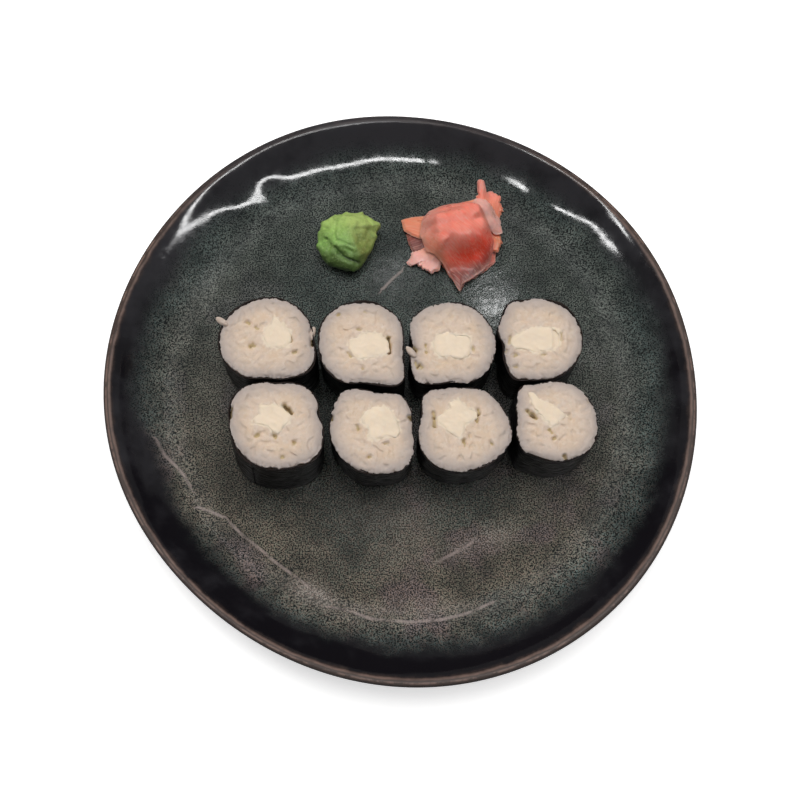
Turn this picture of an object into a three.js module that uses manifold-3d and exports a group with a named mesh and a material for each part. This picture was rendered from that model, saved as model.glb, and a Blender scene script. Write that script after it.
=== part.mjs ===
// A stoneware plate with eight cut maki rolls, a lump of wasabi and a heap of pickled ginger.
// Millimetres, +Z up. The origin is the middle of the plate's foot, on the table, and the front is -Y.

import * as THREE from "three";
import Module from "manifold-3d";
import { mergeVertices } from "three/addons/utils/BufferGeometryUtils.js";

const wasm = await Module();
wasm.setup();

// ---- Driving dimensions ----

const GAP = 0.3; // clearance between neighbouring pieces
const MERGE = 1e-4; // vertices closer than this are one
const TURN = 2 * Math.PI;
const GOLDEN_TURN = Math.PI * (3 - Math.sqrt(5));

const PLATE = {
  radius: 106.2, // mean radius of the rim
  rimHeight: 20,
  floorHeight: 6.5, // top of the flat floor above the table
  floorShare: 0.75, // share of the radius that is flat
  wallCurve: 2.1, // how late the wall turns up
  wallSteps: 6,
  wallFlare: 1, // how far the outside of the wall stands out from the inside
  thickness: 4,
  lip: 1.7, // radius of the rounded lip
  lipTurns: [50, 10, -40], // where the lip's rounding has its corners, in degrees
  footRadius: 57, // middle of the foot ring
  footWidth: 5,
  footTaper: 1,
  segments: 60,
};
// Hand-formed rim: how far its radius swells in so many lobes, and the bearing of the first, in degrees.
const RIM_WAVES = [
  { lobes: 2, swell: 1.9, bearing: -52 },
  { lobes: 3, swell: 0.5, bearing: 59 },
  { lobes: 4, swell: 0.3, bearing: 18 },
  { lobes: 5, swell: 0.2, bearing: -32 },
];
const RIM_LIFT = { lobes: 3, size: 0.6, bearing: 20 };

const ROLL = {
  height: 25.5, // standing height of a cut roll
  segments: 28,
  capDepth: 1.6, // rice that stands above the edge of the seaweed
  capRound: 0.7, // rounding of the cut rice at its rim
  dome: 0.5, // how much the middle of the cut face stands up
  bump: 0.2, // relief of the cut face
  bumpPitch: 6.5, // spacing of that relief
  faceRings: [0.93, 0.62],
};
const NORI = { thickness: 0.5, overlap: 26, overlapRise: 0.35, edgeWave: 0.25, inset: 0.15 };
const NIP = 0.01; // overlap that keeps two cut walls from lying in one plane
const GRAIN = { length: 5.6, width: 2.8, sides: 5, bands: 3, perRoll: 11, sunk: 0.55, fromRim: 1.8 };

// Each roll: the middle of its cut face, how much taller it is than ROLL.height, how far that face leans
// from the foot, its mean radius, the bulges [bearing in degrees, size, half-spread in degrees] that its
// neighbours press into it, the bearing where its seaweed overlaps, the corners of its cheese block about
// its middle, and loose grains [bearing, distance from the middle, bearing it points to, depth].
const ROLLS = [
  {
    name: "back_1", x: -46.6, y: 10.9, rise: 0, lean: [0.2, -0.4], radius: 16.0, seam: 120,
    bulges: [[180, 1.6, 40], [327, 2.7, 22], [268, -1.8, 22]],
    cheese: [
      [2.8, 7.6], [1, 3.6], [-1.2, 1.4], [-3.2, 0], [-1.8, -2.3], [0.4, -4.2], [4.4, -4], [7, -2.2],
      [7.4, 0], [5.2, 3],
    ],
    loose: [[160, 17.4, 165, 0.2], [10, 15.8, 80, 2.0]],
  },
  {
    name: "back_2", x: -13.4, y: 9.3, rise: 0, lean: [0.2, -1.6], radius: 15.9, seam: 75,
    bulges: [[0, -1.5, 25], [140, 1.0, 30], [313, 3.9, 16], [268, -1.6, 18], [180, -0.4, 16]],
    cheese: [
      [-4.1, 0.7], [-3.2, -2.2], [-1, -5], [1.4, -4.3], [5.5, -3.6], [9.2, -3.6], [8.3, 1.4],
      [4.6, 3.9], [0, 2.9], [-3.1, 2.2],
    ],
    loose: [],
  },
  {
    name: "back_3", x: 17.3, y: 9.1, rise: 0, lean: [0.3, -1.8], radius: 16.1, seam: 60,
    bulges: [[137, 1.0, 16], [178, -2.1, 16], [228, 2.2, 15], [272, -1.9, 18]],
    cheese: [
      [-6.9, 1.4], [-7.5, -1.4], [-6.6, -3.6], [-3.1, -4.7], [4.1, -5.1], [5.5, -4.3], [6.2, -0.4],
      [5.5, 1.9], [-2.1, 3.6], [-4.8, 3.2],
    ],
    loose: [[192, 14.2, 130, 0.6]],
  },
  {
    name: "back_4", x: 48.2, y: 11.2, rise: 0, lean: [0.6, -1.0], radius: 15.3, seam: 40,
    bulges: [[128, 1.9, 14], [190, -2.3, 18], [238, 2.0, 14]],
    cheese: [
      [-9.6, -1.1], [-9.2, -2.5], [-5.5, -3.6], [-2, -4.4], [0.8, -4.7], [4.1, -3.6], [6.6, 0],
      [7.2, 2.9], [4.1, 4.3], [-5.9, 4], [-7.2, 1.8],
    ],
    loose: [],
  },
  {
    name: "front_1", x: -42.6, y: -19.9, rise: 1.0, lean: [1.4, 0.8], radius: 16.1, seam: 215,
    bulges: [[145, 2.2, 25], [90, -1.2, 16], [320, 2.2, 24], [45, 0.7, 15], [12, -1.2, 12]],
    cheese: [
      [-6.6, 4.7], [-7.9, 1.4], [-7.4, 0.4], [-3.1, -0.7], [0.3, -2.9], [2.4, -1.8], [3.8, 0.4],
      [5.5, 2.5], [3.8, 4.7], [1.4, 7.1], [-5.2, 6.5],
    ],
    loose: [],
  },
  {
    name: "front_2", x: -9.9, y: -21.7, rise: -0.8, lean: [0.6, -1.7], radius: 15.6, seam: 250,
    bulges: [[0, -1.5, 20], [82, -1.7, 16], [128, 2.0, 18], [215, -1.0, 30], [310, 2.2, 24], [45, 0.7, 14]],
    cheese: [
      [-3.1, 3.2], [-3.1, 1.8], [-1, -1.1], [0, -4.3], [3.1, -3.2], [6.6, -2.9], [9.2, -0.4],
      [9.2, 3.2], [7.9, 7.2], [4.8, 7.8], [1, 7.2], [-0.4, 5],
    ],
    loose: [],
  },
  {
    name: "front_3", x: 21.0, y: -21.0, rise: -0.9, lean: [0.5, -1.5], radius: 16.0, seam: 290,
    bulges: [
      [0, 0.7, 25], [90, -0.9, 20], [136, 2.4, 14], [170, -0.9, 16], [225, 0.9, 22], [285, -0.7, 20],
      [345, 1.0, 20],
    ],
    cheese: [
      [-9, 2.5], [-8.1, 0.4], [-2, -4], [-0.5, -4.7], [3.5, 1.1], [4.7, 4.5], [-1.6, 8.4],
      [-4.4, 8.6], [-4.6, 5.2], [-8.1, 4.6],
    ],
    loose: [],
  },
  {
    name: "front_4", x: 52.7, y: -18.6, rise: 0.3, lean: [1.2, -0.4], radius: 14.7, seam: 320,
    bulges: [[134, 2.6, 12], [178, -1.3, 16], [225, 1.1, 12], [322, 1.0, 24]],
    cheese: [
      [-9.6, 9], [-8.3, 6.5], [-5.9, 3.6], [-3.1, 0.7], [-0.7, -2.5], [3.4, 0.7], [1.7, 2.9],
      [-2.4, 5.8], [-7.6, 10.2],
    ],
    loose: [],
  },
];

// Outlines below are corners [x, y] on the plate, anticlockwise round a middle.
const WASABI = {
  middle: [-20.5, 57.5], height: 14, waist: 0.36, detail: 3, lump: 0.04,
  outline: [
    [-31.3, 58.2], [-31.1, 53.5], [-29.4, 49.9], [-25.8, 47], [-20.9, 45.2], [-17.6, 45], [-14.8, 47.2],
    [-12, 51.5], [-9.8, 56.3], [-9.4, 60.5], [-7.6, 63], [-10.8, 65.3], [-14.6, 68], [-20.1, 68.3],
    [-25.6, 66.6], [-29.8, 62.8],
  ],
};
// Flat knife-like facets on the wasabi: bearing and rise they face, and the share of the reach they leave.
const WASABI_FACETS = [[0, 30, 0.86], [150, 48, 0.92], [250, 42, 0.88], [75, 40, 0.94]];

const GINGER = { thickness: 1, layerGap: 0.5, reach: 4.5, clearance: 1.1, field: 32, pitch: 0.8 };
const HEAP = {
  name: "ginger_heap", middle: [22, 60.5], height: 10.5, thickness: 0.6, cells: 6,
  outline: [
    [10.5, 58], [13.5, 52.5], [20, 50], [27, 50.5], [31.5, 55], [33, 62], [31, 69.5], [24, 71.5],
    [15.5, 69.5], [11, 64.5],
  ],
};
// The slices in the order they lie, each with its folds
// [x, y, bearing of the crest, height, half-width, half-length].
const SLICES = [
  {
    name: "ginger_front", middle: [25.5, 49.5], cells: 6,
    outline: [
      [14, 50.5], [17.2, 45.7], [19.6, 40.4], [23.2, 42.4], [26.4, 44.6], [32, 47], [35.4, 50.4],
      [36, 56], [30, 58.5], [22, 58], [16, 55.5],
    ],
    folds: [[21.5, 45, 70, 1.0, 2.6, 6], [29, 49, 40, 0.9, 2.6, 5]],
  },
  {
    name: "ginger_under", middle: [8.5, 58.4], cells: 5,
    outline: [[1.8, 61.5], [2.8, 57.4], [4.4, 53.8], [9.5, 53], [14, 56.5], [14, 62.5], [7, 64.4]],
    folds: [[4.5, 58, 75, 0.8, 2.4, 5]],
  },
  {
    name: "ginger_ruffle", middle: [9, 50.4], cells: 6,
    outline: [
      [1.6, 49.9], [3.2, 48.3], [5.6, 49], [8.4, 47.1], [11.4, 45.5], [14.4, 46.7], [16, 49.5],
      [14.5, 54], [9.5, 55.4], [4.2, 53.4],
    ],
    folds: [[5.2, 50.6, 110, 1.1, 2.2, 4], [11.5, 49, 70, 1.2, 2.2, 4]],
  },
  {
    name: "ginger_left", middle: [7.5, 64.2], cells: 5,
    outline: [
      [-0.2, 67.3], [1, 62.4], [4, 60.2], [8.8, 58.4], [12.5, 60], [14, 66.5], [9, 69.3], [4, 68.7],
    ],
    folds: [[5, 65, 165, 1.2, 2.6, 6]],
  },
  {
    name: "ginger_rear", middle: [21, 70], cells: 6,
    outline: [
      [8.6, 67.4], [13, 63.5], [21, 64.5], [30, 67.5], [32, 73], [29, 76.6], [22.8, 74],
      [16.8, 72.2], [12, 70.8],
    ],
    folds: [[21, 72.5, 15, 1.3, 2.4, 9]],
  },
  {
    name: "ginger_back", middle: [33, 72], cells: 6,
    outline: [
      [27, 72.6], [28.6, 67], [32.4, 64], [36.9, 66.4], [38.3, 70.9], [37.3, 76.7], [34.6, 79],
      [32.4, 78], [31.5, 82.8], [28.7, 82.8], [28.9, 77],
    ],
    folds: [[30.2, 80, 95, 2.4, 2.6, 5], [35.5, 73, 75, 1.2, 2.6, 6]],
  },
  {
    name: "ginger_curl", middle: [33.8, 57.5], cells: 5,
    outline: [[30, 60.8], [30, 56], [32.6, 52.8], [36.4, 54], [38.1, 58], [37.1, 61.8], [33, 63]],
    folds: [[36, 57.5, 80, 1.2, 2.2, 4]],
  },
  {
    name: "ginger_fold", middle: [32.4, 67.4], cells: 6,
    outline: [
      [24.6, 69.6], [28.4, 66], [31, 62.4], [34.9, 60], [38.2, 61.2], [37.5, 66.6], [34.9, 70.6],
      [31.8, 74.6], [28.2, 74.6],
    ],
    folds: [[33.2, 68.5, 125, 1.5, 2.4, 7]],
  },
  {
    name: "ginger_top", middle: [20.5, 58.5], cells: 8,
    outline: [
      [6.8, 60], [8.9, 53.6], [12.8, 50.6], [17.2, 47.2], [22.4, 45.4], [28.2, 47], [33, 52.2], [34, 57.8],
      [32, 63.6], [29, 68.4], [25, 71], [20.1, 72], [14.9, 71.6], [10.4, 69.6], [7.8, 65.4],
    ],
    folds: [[18.5, 60, 20, 0.8, 4, 7], [26, 67, 150, 0.7, 2.6, 6], [23, 53, 140, 0.9, 3, 6]],
  },
];

const rollFoot = PLATE.floorHeight + GAP / 2; // what stands on the flat floor starts here

// ---- Small helpers ----

const radians = (degrees) => (degrees * Math.PI) / 180;

// The angle from b to a, between -PI and PI.
const turnBetween = (a, b) => Math.atan2(Math.sin(a - b), Math.cos(a - b));

const smoothStep = (low, high, x) => {
  const share = Math.min(Math.max((x - low) / (high - low), 0), 1);
  return share * share * (3 - 2 * share);
};

// A repeatable stream of numbers between 0 and 1.
function randomStream(seed) {
  let state = seed * 7919 + 17;
  return () => {
    state = (state * 16807) % 2147483647;
    return state / 2147483647;
  };
}

// The radius of a round outline at an angle, with its bulges and dents added.
function outlineRadius({ radius, bulges }, angle) {
  return bulges.reduce((sum, [bearing, size, spread]) => {
    const away = turnBetween(angle, radians(bearing)) / radians(spread);
    return sum + size * Math.exp(-away * away);
  }, radius);
}

// How far the outline of corners lies from its middle at an angle.
function outlineReach({ middle, outline }, angle) {
  const ray = [Math.cos(angle), Math.sin(angle)];
  return outline.reduce((reach, corner, i) => {
    const next = outline[(i + 1) % outline.length];
    const [ax, ay] = [corner[0] - middle[0], corner[1] - middle[1]];
    const [bx, by] = [next[0] - middle[0], next[1] - middle[1]];
    const turn = ray[0] * (by - ay) - ray[1] * (bx - ax);
    const along = (ax * (by - ay) - ay * (bx - ax)) / turn;
    const share = (ax * ray[1] - ay * ray[0]) / turn;
    return along > 0 && share >= 0 && share <= 1 ? Math.max(reach, along) : reach;
  }, 0);
}

// ---- Geometry to solid and back ----

function toSolid(geometry) {
  const bare = new THREE.BufferGeometry().setAttribute("position", geometry.getAttribute("position"));
  bare.setIndex(geometry.index);
  const merged = mergeVertices(bare, MERGE);
  const corners = Array.from(merged.index.array);
  const kept = [];
  for (let i = 0; i < corners.length; i += 3) {
    const [a, b, c] = corners.slice(i, i + 3);
    if (a !== b && b !== c && c !== a) kept.push(a, b, c);
  }
  return new wasm.Manifold(
    new wasm.Mesh({
      numProp: 3,
      vertProperties: merged.getAttribute("position").array,
      triVerts: new Uint32Array(kept),
    }),
  );
}

// The largest of a solid's bodies, so that a scrap left by a cut is dropped.
function largestBody(solid) {
  return solid.decompose().reduce((best, body) => (body.volume() > best.volume() ? body : best));
}

function toGeometry(solid) {
  const mesh = solid.getMesh();
  const positions = new Float32Array(mesh.numVert * 3);
  for (let i = 0; i < mesh.numVert; i++) {
    const start = i * mesh.numProp;
    positions.set(mesh.vertProperties.subarray(start, start + 3), i * 3);
  }
  const geometry = new THREE.BufferGeometry();
  geometry.setAttribute("position", new THREE.BufferAttribute(positions, 3));
  geometry.setIndex(new THREE.BufferAttribute(mesh.triVerts, 1));
  geometry.computeVertexNormals();
  return geometry;
}

// A turned form: the profile [across, height] goes round +Z, and place(across, height, angle) sets a point.
function turned(profile, segments, place) {
  const geometry = new THREE.LatheGeometry(
    profile.map(([across, height]) => new THREE.Vector2(across, height)),
    segments,
  );
  const points = geometry.getAttribute("position");
  for (let i = 0; i < points.count; i++) {
    const [a, height, b] = [points.getX(i), points.getY(i), points.getZ(i)];
    const [x, y, z] = place(Math.hypot(a, b), height, Math.atan2(a, b));
    points.setXYZ(i, x, y, z);
  }
  return geometry;
}

function prism(corners, low, high) {
  const shape = new THREE.Shape(corners.map(([x, y]) => new THREE.Vector2(x, y)));
  const geometry = new THREE.ExtrudeGeometry(shape, { depth: high - low, bevelEnabled: false });
  return geometry.translate(0, 0, low);
}

// An anticlockwise polygon with each side moved out by a margin.
function grown(corners, margin) {
  const sides = corners.map(([x, y], i) => {
    const [x2, y2] = corners[(i + 1) % corners.length];
    const long = Math.hypot(x2 - x, y2 - y);
    const [dx, dy] = [(x2 - x) / long, (y2 - y) / long];
    return { x: x + dy * margin, y: y - dx * margin, dx, dy };
  });
  return sides.map((side, i) => {
    const before = sides[(i + corners.length - 1) % corners.length];
    const turn = before.dx * side.dy - before.dy * side.dx;
    const along = ((side.x - before.x) * side.dy - (side.y - before.y) * side.dx) / turn;
    return [before.x + before.dx * along, before.y + before.dy * along];
  });
}

function insidePolygon([x, y], corners) {
  return corners.reduce((inside, [x1, y1], i) => {
    const [x2, y2] = corners[(i + 1) % corners.length];
    const crosses = y1 > y !== y2 > y && x < x1 + ((x2 - x1) * (y - y1)) / (y2 - y1);
    return crosses ? !inside : inside;
  }, false);
}

// ---- Plate ----

function rimRadius(angle) {
  return RIM_WAVES.reduce(
    (sum, { lobes, swell, bearing }) => sum + swell * Math.cos(lobes * (angle - radians(bearing))),
    PLATE.radius,
  );
}

// The height of the plate's upper side at a share of its radius.
function plateTop(share) {
  const up = Math.max(share - PLATE.floorShare, 0) / (1 - PLATE.floorShare);
  return PLATE.floorHeight + (PLATE.rimHeight - PLATE.floorHeight) * up ** PLATE.wallCurve;
}

function makePlate() {
  const { radius, floorHeight, floorShare, thickness, lip, wallSteps, wallFlare, segments } = PLATE;
  const lastShare = 1 - lip / radius;
  const shares = Array.from(
    { length: wallSteps + 1 },
    (_, i) => floorShare + ((lastShare - floorShare) * i) / wallSteps,
  );
  const upper = shares.map((share) => [share * radius, plateTop(share)]);
  const [lipX, lipZ] = [lastShare * radius, plateTop(lastShare) - lip];
  const round = PLATE.lipTurns.map((turn) => [
    lipX + lip * Math.cos(radians(turn)),
    lipZ + lip * Math.sin(radians(turn)),
  ]);
  // The outside follows the inside, one wall thickness lower, down to the foot ring.
  const wall = shares.slice(1, -1).reverse();
  const outer = wall.map((share) => [share * radius + wallFlare, plateTop(share) - thickness]);
  const underside = floorHeight - thickness;
  const [footIn, footOut] = [-1, 1].map((side) => PLATE.footRadius + (side * PLATE.footWidth) / 2);
  const foot = [
    [footOut + PLATE.footTaper, underside],
    [footOut, 0],
    [footIn, 0],
    [footIn - PLATE.footTaper, underside],
  ];
  const profile = [[0, floorHeight], ...upper, ...round, ...outer, ...foot, [0, underside]].reverse();
  return turned(profile, segments, (across, height, angle) => {
    const share = across / radius;
    const swell = (rimRadius(angle) - radius) * share ** 3;
    const lifted = RIM_LIFT.size * Math.cos(RIM_LIFT.lobes * (angle - radians(RIM_LIFT.bearing)));
    const lift = lifted * smoothStep(PLATE.floorShare, 1, share);
    return [(across + swell) * Math.cos(angle), (across + swell) * Math.sin(angle), height + lift];
  });
}

// ---- Rolls ----

const rollTop = (roll) => PLATE.floorHeight + ROLL.height + roll.rise;
const noriTop = (roll) => rollTop(roll) - ROLL.capDepth;

// A point of a roll: straight up the roll, with the foot set back by the roll's lean.
function onRoll(roll, across, angle, height) {
  const below = (rollTop(roll) - height) / ROLL.height;
  return [
    roll.x - roll.lean[0] * below + across * Math.cos(angle),
    roll.y - roll.lean[1] * below + across * Math.sin(angle),
    height,
  ];
}

// The gentle relief of the cut rice.
function faceBump(x, y) {
  const [u, v] = [(TURN * x) / ROLL.bumpPitch, (TURN * y) / ROLL.bumpPitch];
  return ROLL.bump * Math.sin(u + v / 2) * Math.cos(v - u / 3);
}

function riceGrain(roll, across, angle, points, under, random) {
  const grain = new THREE.SphereGeometry(0.5, GRAIN.sides, GRAIN.bands);
  const size = 0.85 + 0.3 * random();
  grain.scale(GRAIN.width * size, GRAIN.length * size, GRAIN.width * 0.9);
  grain.rotateY(random() * TURN);
  grain.rotateX((random() - 0.5) * 0.3);
  grain.rotateZ(points - Math.PI / 2);
  const [x, y, z] = onRoll(roll, across, angle, rollTop(roll) - under);
  return grain.translate(x, y, z);
}

// Grains spread evenly over the cut face by the golden angle, clear of the cheese.
function faceGrains(roll, seed) {
  const random = randomStream(seed);
  const cheese = grown(roll.cheese, GRAIN.width / 2);
  const made = [];
  for (let i = 0; i < GRAIN.perRoll; i++) {
    const angle = i * GOLDEN_TURN + seed;
    const reach = outlineRadius(roll, angle) - GRAIN.fromRim;
    const across = reach * Math.sqrt((i + 2.5) / (GRAIN.perRoll + 1.5));
    const points = angle + Math.PI / 2 + (random() - 0.5);
    if (insidePolygon([across * Math.cos(angle), across * Math.sin(angle)], cheese)) continue;
    made.push(riceGrain(roll, across, angle, points, GRAIN.sunk, random));
  }
  for (const [bearing, across, points, under] of roll.loose) {
    made.push(riceGrain(roll, across, radians(bearing), radians(points), under, random));
  }
  return made;
}

function makeNori(roll) {
  const low = rollFoot;
  const high = noriTop(roll);
  const outerInset = NORI.inset;
  const profile = [[0, low], [1, low], [1, high], [0, high], [0, low]].map(([x, z]) => [x + 1, z]);
  return turned(profile, ROLL.segments, (side, height, angle) => {
    const share = side - 1;
    const past = turnBetween(angle, radians(roll.seam)) / radians(NORI.overlap);
    const doubled = past >= 0 && past <= 1 ? NORI.overlapRise * (1 - past * 0.6) : 0;
    const outside = outlineRadius(roll, angle) - outerInset;
    const across = outside - NORI.thickness * (1 - share) + doubled * share;
    const wave = height > (low + high) / 2 ? NORI.edgeWave * Math.sin(5 * angle + roll.seam) : 0;
    return onRoll(roll, across, angle, height + wave);
  });
}

// The room that the seaweed needs among the grains, just clear of the rice that stands inside it.
function noriRoom(roll) {
  const [low, high] = [rollFoot - 1, noriTop(roll) + NORI.edgeWave + GAP - NIP];
  const profile = [[1, low], [2, low], [2, high], [1, high], [1, low]];
  return turned(profile, ROLL.segments, (side, height, angle) => {
    const outside = outlineRadius(roll, angle) - NORI.inset;
    const inner = outside - NORI.thickness - GAP + NIP;
    return onRoll(roll, side > 1.5 ? outside + GRAIN.length : inner, angle, height);
  });
}

function makeRice(roll, seed) {
  const top = rollTop(roll);
  const under = NORI.inset + NORI.thickness + GAP;
  const capLow = noriTop(roll) + NORI.edgeWave + GAP;
  const profile = [
    [0, rollFoot], [1, rollFoot], [1, capLow], [2, capLow], [2, top - ROLL.capRound],
    ...ROLL.faceRings.map((share) => [1 + share, top]), [0, top],
  ];
  const core = turned(profile, ROLL.segments, (key, height, angle) => {
    const outside = outlineRadius(roll, angle);
    const onFace = height > top - ROLL.capRound / 2;
    if (!onFace && key < 1.5) return onRoll(roll, key > 0 ? outside - under : 0, angle, height);
    if (!onFace) return onRoll(roll, outside, angle, height);
    const share = key > 0 ? key - 1 : 0;
    const across = outside * share;
    const raised = ROLL.dome * (1 - share * share);
    const bump = faceBump(roll.x + across * Math.cos(angle), roll.y + across * Math.sin(angle));
    return onRoll(roll, across, angle, top - ROLL.dome + raised + bump);
  });
  let rice = toSolid(core);
  for (const grain of faceGrains(roll, seed)) rice = rice.add(toSolid(grain));
  const hole = prism(grown(roll.cheese, GAP), 0, top + GRAIN.width * 2).translate(roll.x, roll.y, 0);
  return toGeometry(largestBody(rice.subtract(toSolid(hole)).subtract(toSolid(noriRoom(roll)))));
}

// The cheese is one strip that runs through the roll; it stands straight, inside the hole in the rice.
function makeCheese(roll) {
  return prism(roll.cheese, rollFoot, rollTop(roll) - 0.1).translate(roll.x, roll.y, 0);
}

// ---- Wasabi ----

function makeWasabi() {
  const { middle, height, waist, detail, lump } = WASABI;
  const geometry = new THREE.IcosahedronGeometry(1, detail);
  const points = geometry.getAttribute("position");
  const towards = new THREE.Vector3();
  const facets = WASABI_FACETS.map(([bearing, rise, share]) => {
    const [c, s] = [Math.cos(radians(rise)), Math.sin(radians(rise))];
    const normal = new THREE.Vector3(c * Math.cos(radians(bearing)), c * Math.sin(radians(bearing)), s);
    return { share, normal };
  });
  for (let i = 0; i < points.count; i++) {
    towards.fromBufferAttribute(points, i).normalize();
    const cut = facets.reduce((reach, { normal, share }) => {
      const facing = normal.dot(towards);
      return facing > share ? Math.min(reach, share / facing) : reach;
    }, 1);
    const { x, y, z } = towards;
    const ripple = lump * Math.sin(5 * x + 2) * Math.sin(6 * y + 1) * Math.sin(7 * z);
    const across = outlineReach(WASABI, Math.atan2(y, x)) * (cut + ripple);
    const up = height * (waist + z * (cut + ripple) * (1 - waist));
    points.setXYZ(i, middle[0] + across * x, middle[1] + across * y, rollFoot + Math.max(up, 0));
  }
  return geometry;
}

// ---- Ginger ----

function ridge([x0, y0, bearing, height, width, length], x, y) {
  const [c, s] = [Math.cos(radians(bearing)), Math.sin(radians(bearing))];
  const along = ((x - x0) * c + (y - y0) * s) / length;
  const across = ((y - y0) * c - (x - x0) * s) / width;
  return height * Math.exp(-along * along - across * across);
}

// A height function held as samples round the ginger, so that layer on layer stays quick to work out.
function sampled(height) {
  const { middle } = HEAP;
  const across = Math.round((2 * GINGER.field) / GINGER.pitch) + 1;
  const [left, low] = [middle[0] - GINGER.field, middle[1] - GINGER.field];
  const held = Array.from({ length: across * across }, (_, i) =>
    height(left + (i % across) * GINGER.pitch, low + Math.floor(i / across) * GINGER.pitch),
  );
  return (x, y) => {
    const u = Math.min(Math.max((x - left) / GINGER.pitch, 0), across - 1.001);
    const v = Math.min(Math.max((y - low) / GINGER.pitch, 0), across - 1.001);
    const [i, j] = [Math.floor(u), Math.floor(v)];
    const at = (a, b) => held[(j + b) * across + i + a];
    const near = at(0, 0) + (at(1, 0) - at(0, 0)) * (u - i);
    const far = at(0, 1) + (at(1, 1) - at(0, 1)) * (u - i);
    return near + (far - near) * (v - j);
  };
}

// How fully a slice covers a point: 1 inside its outline, fading to 0 a little way outside.
function cover(slice, x, y) {
  const [dx, dy] = [x - slice.middle[0], y - slice.middle[1]];
  return 1 - smoothStep(0, GINGER.reach, Math.hypot(dx, dy) - outlineReach(slice, Math.atan2(dy, dx)));
}

// What a slice lies on where there is nothing else: the plate, with a little air.
const plateSurface = (x, y) => plateTop(Math.hypot(x, y) / PLATE.radius) + GAP / 2;

// The highest of a surface near a point, so that a coarse sheet stays above it.
function highestNear(surface, x, y) {
  const away = GINGER.clearance;
  const near = [[0, 0], [away, 0], [-away, 0], [0, away], [0, -away]];
  return Math.max(...near.map(([dx, dy]) => surface(x + dx, y + dy)));
}

function heapRise(x, y) {
  const [dx, dy] = [x - HEAP.middle[0], y - HEAP.middle[1]];
  const share = Math.hypot(dx, dy) / outlineReach(HEAP, Math.atan2(dy, dx));
  return HEAP.height * (1 - smoothStep(0.1, 1.35, share));
}

// A closed sheet inside an outline, between two height functions: a square grid, drawn out to a disc.
function sheet(slice, bottom, top) {
  const { cells } = slice;
  const [low, high] = [bottom, top].map((height) => {
    const face = new THREE.PlaneGeometry(2, 2, cells, cells);
    const points = face.getAttribute("position");
    for (let i = 0; i < points.count; i++) {
      const [u, v] = [points.getX(i), points.getY(i)];
      const [dx, dy] = [u * Math.sqrt(1 - (v * v) / 2), v * Math.sqrt(1 - (u * u) / 2)];
      const reach = Math.hypot(dx, dy) > 0 ? outlineReach(slice, Math.atan2(dy, dx)) : 0;
      const [x, y] = [slice.middle[0] + dx * reach, slice.middle[1] + dy * reach];
      points.setXYZ(i, x, y, height(x, y));
    }
    return face;
  });
  const count = (cells + 1) ** 2;
  const upward = Array.from(high.index.array);
  const corners = [];
  for (let i = 0; i < upward.length; i += 3) {
    const [a, b, c] = upward.slice(i, i + 3);
    corners.push(a, c, b, a + count, b + count, c + count);
  }
  // The rim of the grid, anticlockwise, closes the sheet.
  const row = cells + 1;
  const steps = Array.from({ length: cells }, (_, i) => i);
  const rim = [
    ...steps.map((i) => cells * row + i),
    ...steps.map((i) => (cells - i) * row + cells),
    ...steps.map((i) => cells - i),
    ...steps.map((i) => i * row),
  ];
  rim.forEach((a, i) => {
    const b = rim[(i + 1) % rim.length];
    corners.push(a, b, b + count, a, b + count, a + count);
  });
  const geometry = new THREE.BufferGeometry();
  const positions = [low, high].flatMap((face) => Array.from(face.getAttribute("position").array));
  geometry.setAttribute("position", new THREE.Float32BufferAttribute(positions, 3));
  return geometry.setIndex(corners);
}

// The heap and its slices, laid one on another, so that each starts a gap above what it lies on.
function makeGinger() {
  const heapTop = (x, y) => plateSurface(x, y) + HEAP.thickness + heapRise(x, y);
  const made = [[HEAP.name, sheet(HEAP, plateSurface, heapTop)]];
  let surface = sampled(
    (x, y) => plateSurface(x, y) + cover(HEAP, x, y) * (HEAP.thickness + GINGER.layerGap) + heapRise(x, y),
  );
  for (const slice of SLICES) {
    const below = surface;
    const folded = (x, y) => slice.folds.reduce((sum, fold) => sum + ridge(fold, x, y), 0);
    const bottom = (x, y) => highestNear(below, x, y) + folded(x, y);
    made.push([slice.name, sheet(slice, bottom, (x, y) => bottom(x, y) + GINGER.thickness)]);
    surface = sampled((x, y) => {
      const lift = bottom(x, y) - below(x, y) + GINGER.thickness + GINGER.layerGap;
      return below(x, y) + cover(slice, x, y) * lift;
    });
  }
  return made;
}

// ---- The whole ----

const finish = (color, roughness) => new THREE.MeshStandardMaterial({ color, roughness, metalness: 0 });
const FINISHES = {
  glaze: finish(0x2f3733, 0.2),
  nori: finish(0x17151a, 0.5),
  rice: finish(0xd6ccc2, 0.5),
  cheese: finish(0xefe2c8, 0.45),
  wasabi: finish(0x84a44c, 0.6),
  ginger: finish(0xdd7d68, 0.35),
};

function named(name, geometry, material) {
  const mesh = new THREE.Mesh(geometry, material);
  mesh.name = name;
  return mesh;
}

const board = new THREE.Group();
board.add(named("plate", makePlate(), FINISHES.glaze));
ROLLS.forEach((roll, i) => {
  board.add(named(`nori_${roll.name}`, makeNori(roll), FINISHES.nori));
  board.add(named(`rice_${roll.name}`, makeRice(roll, i + 1), FINISHES.rice));
  board.add(named(`cheese_${roll.name}`, makeCheese(roll), FINISHES.cheese));
});
board.add(named("wasabi", makeWasabi(), FINISHES.wasabi));
for (const [name, geometry] of makeGinger()) board.add(named(name, geometry, FINISHES.ginger));

export default board;
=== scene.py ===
"""A stoneware plate with eight cut maki rolls, a lump of wasabi and a heap of pickled ginger.

Shapes are worked out in millimetres, and a piece comes to metres when it is finished.
"""

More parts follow.
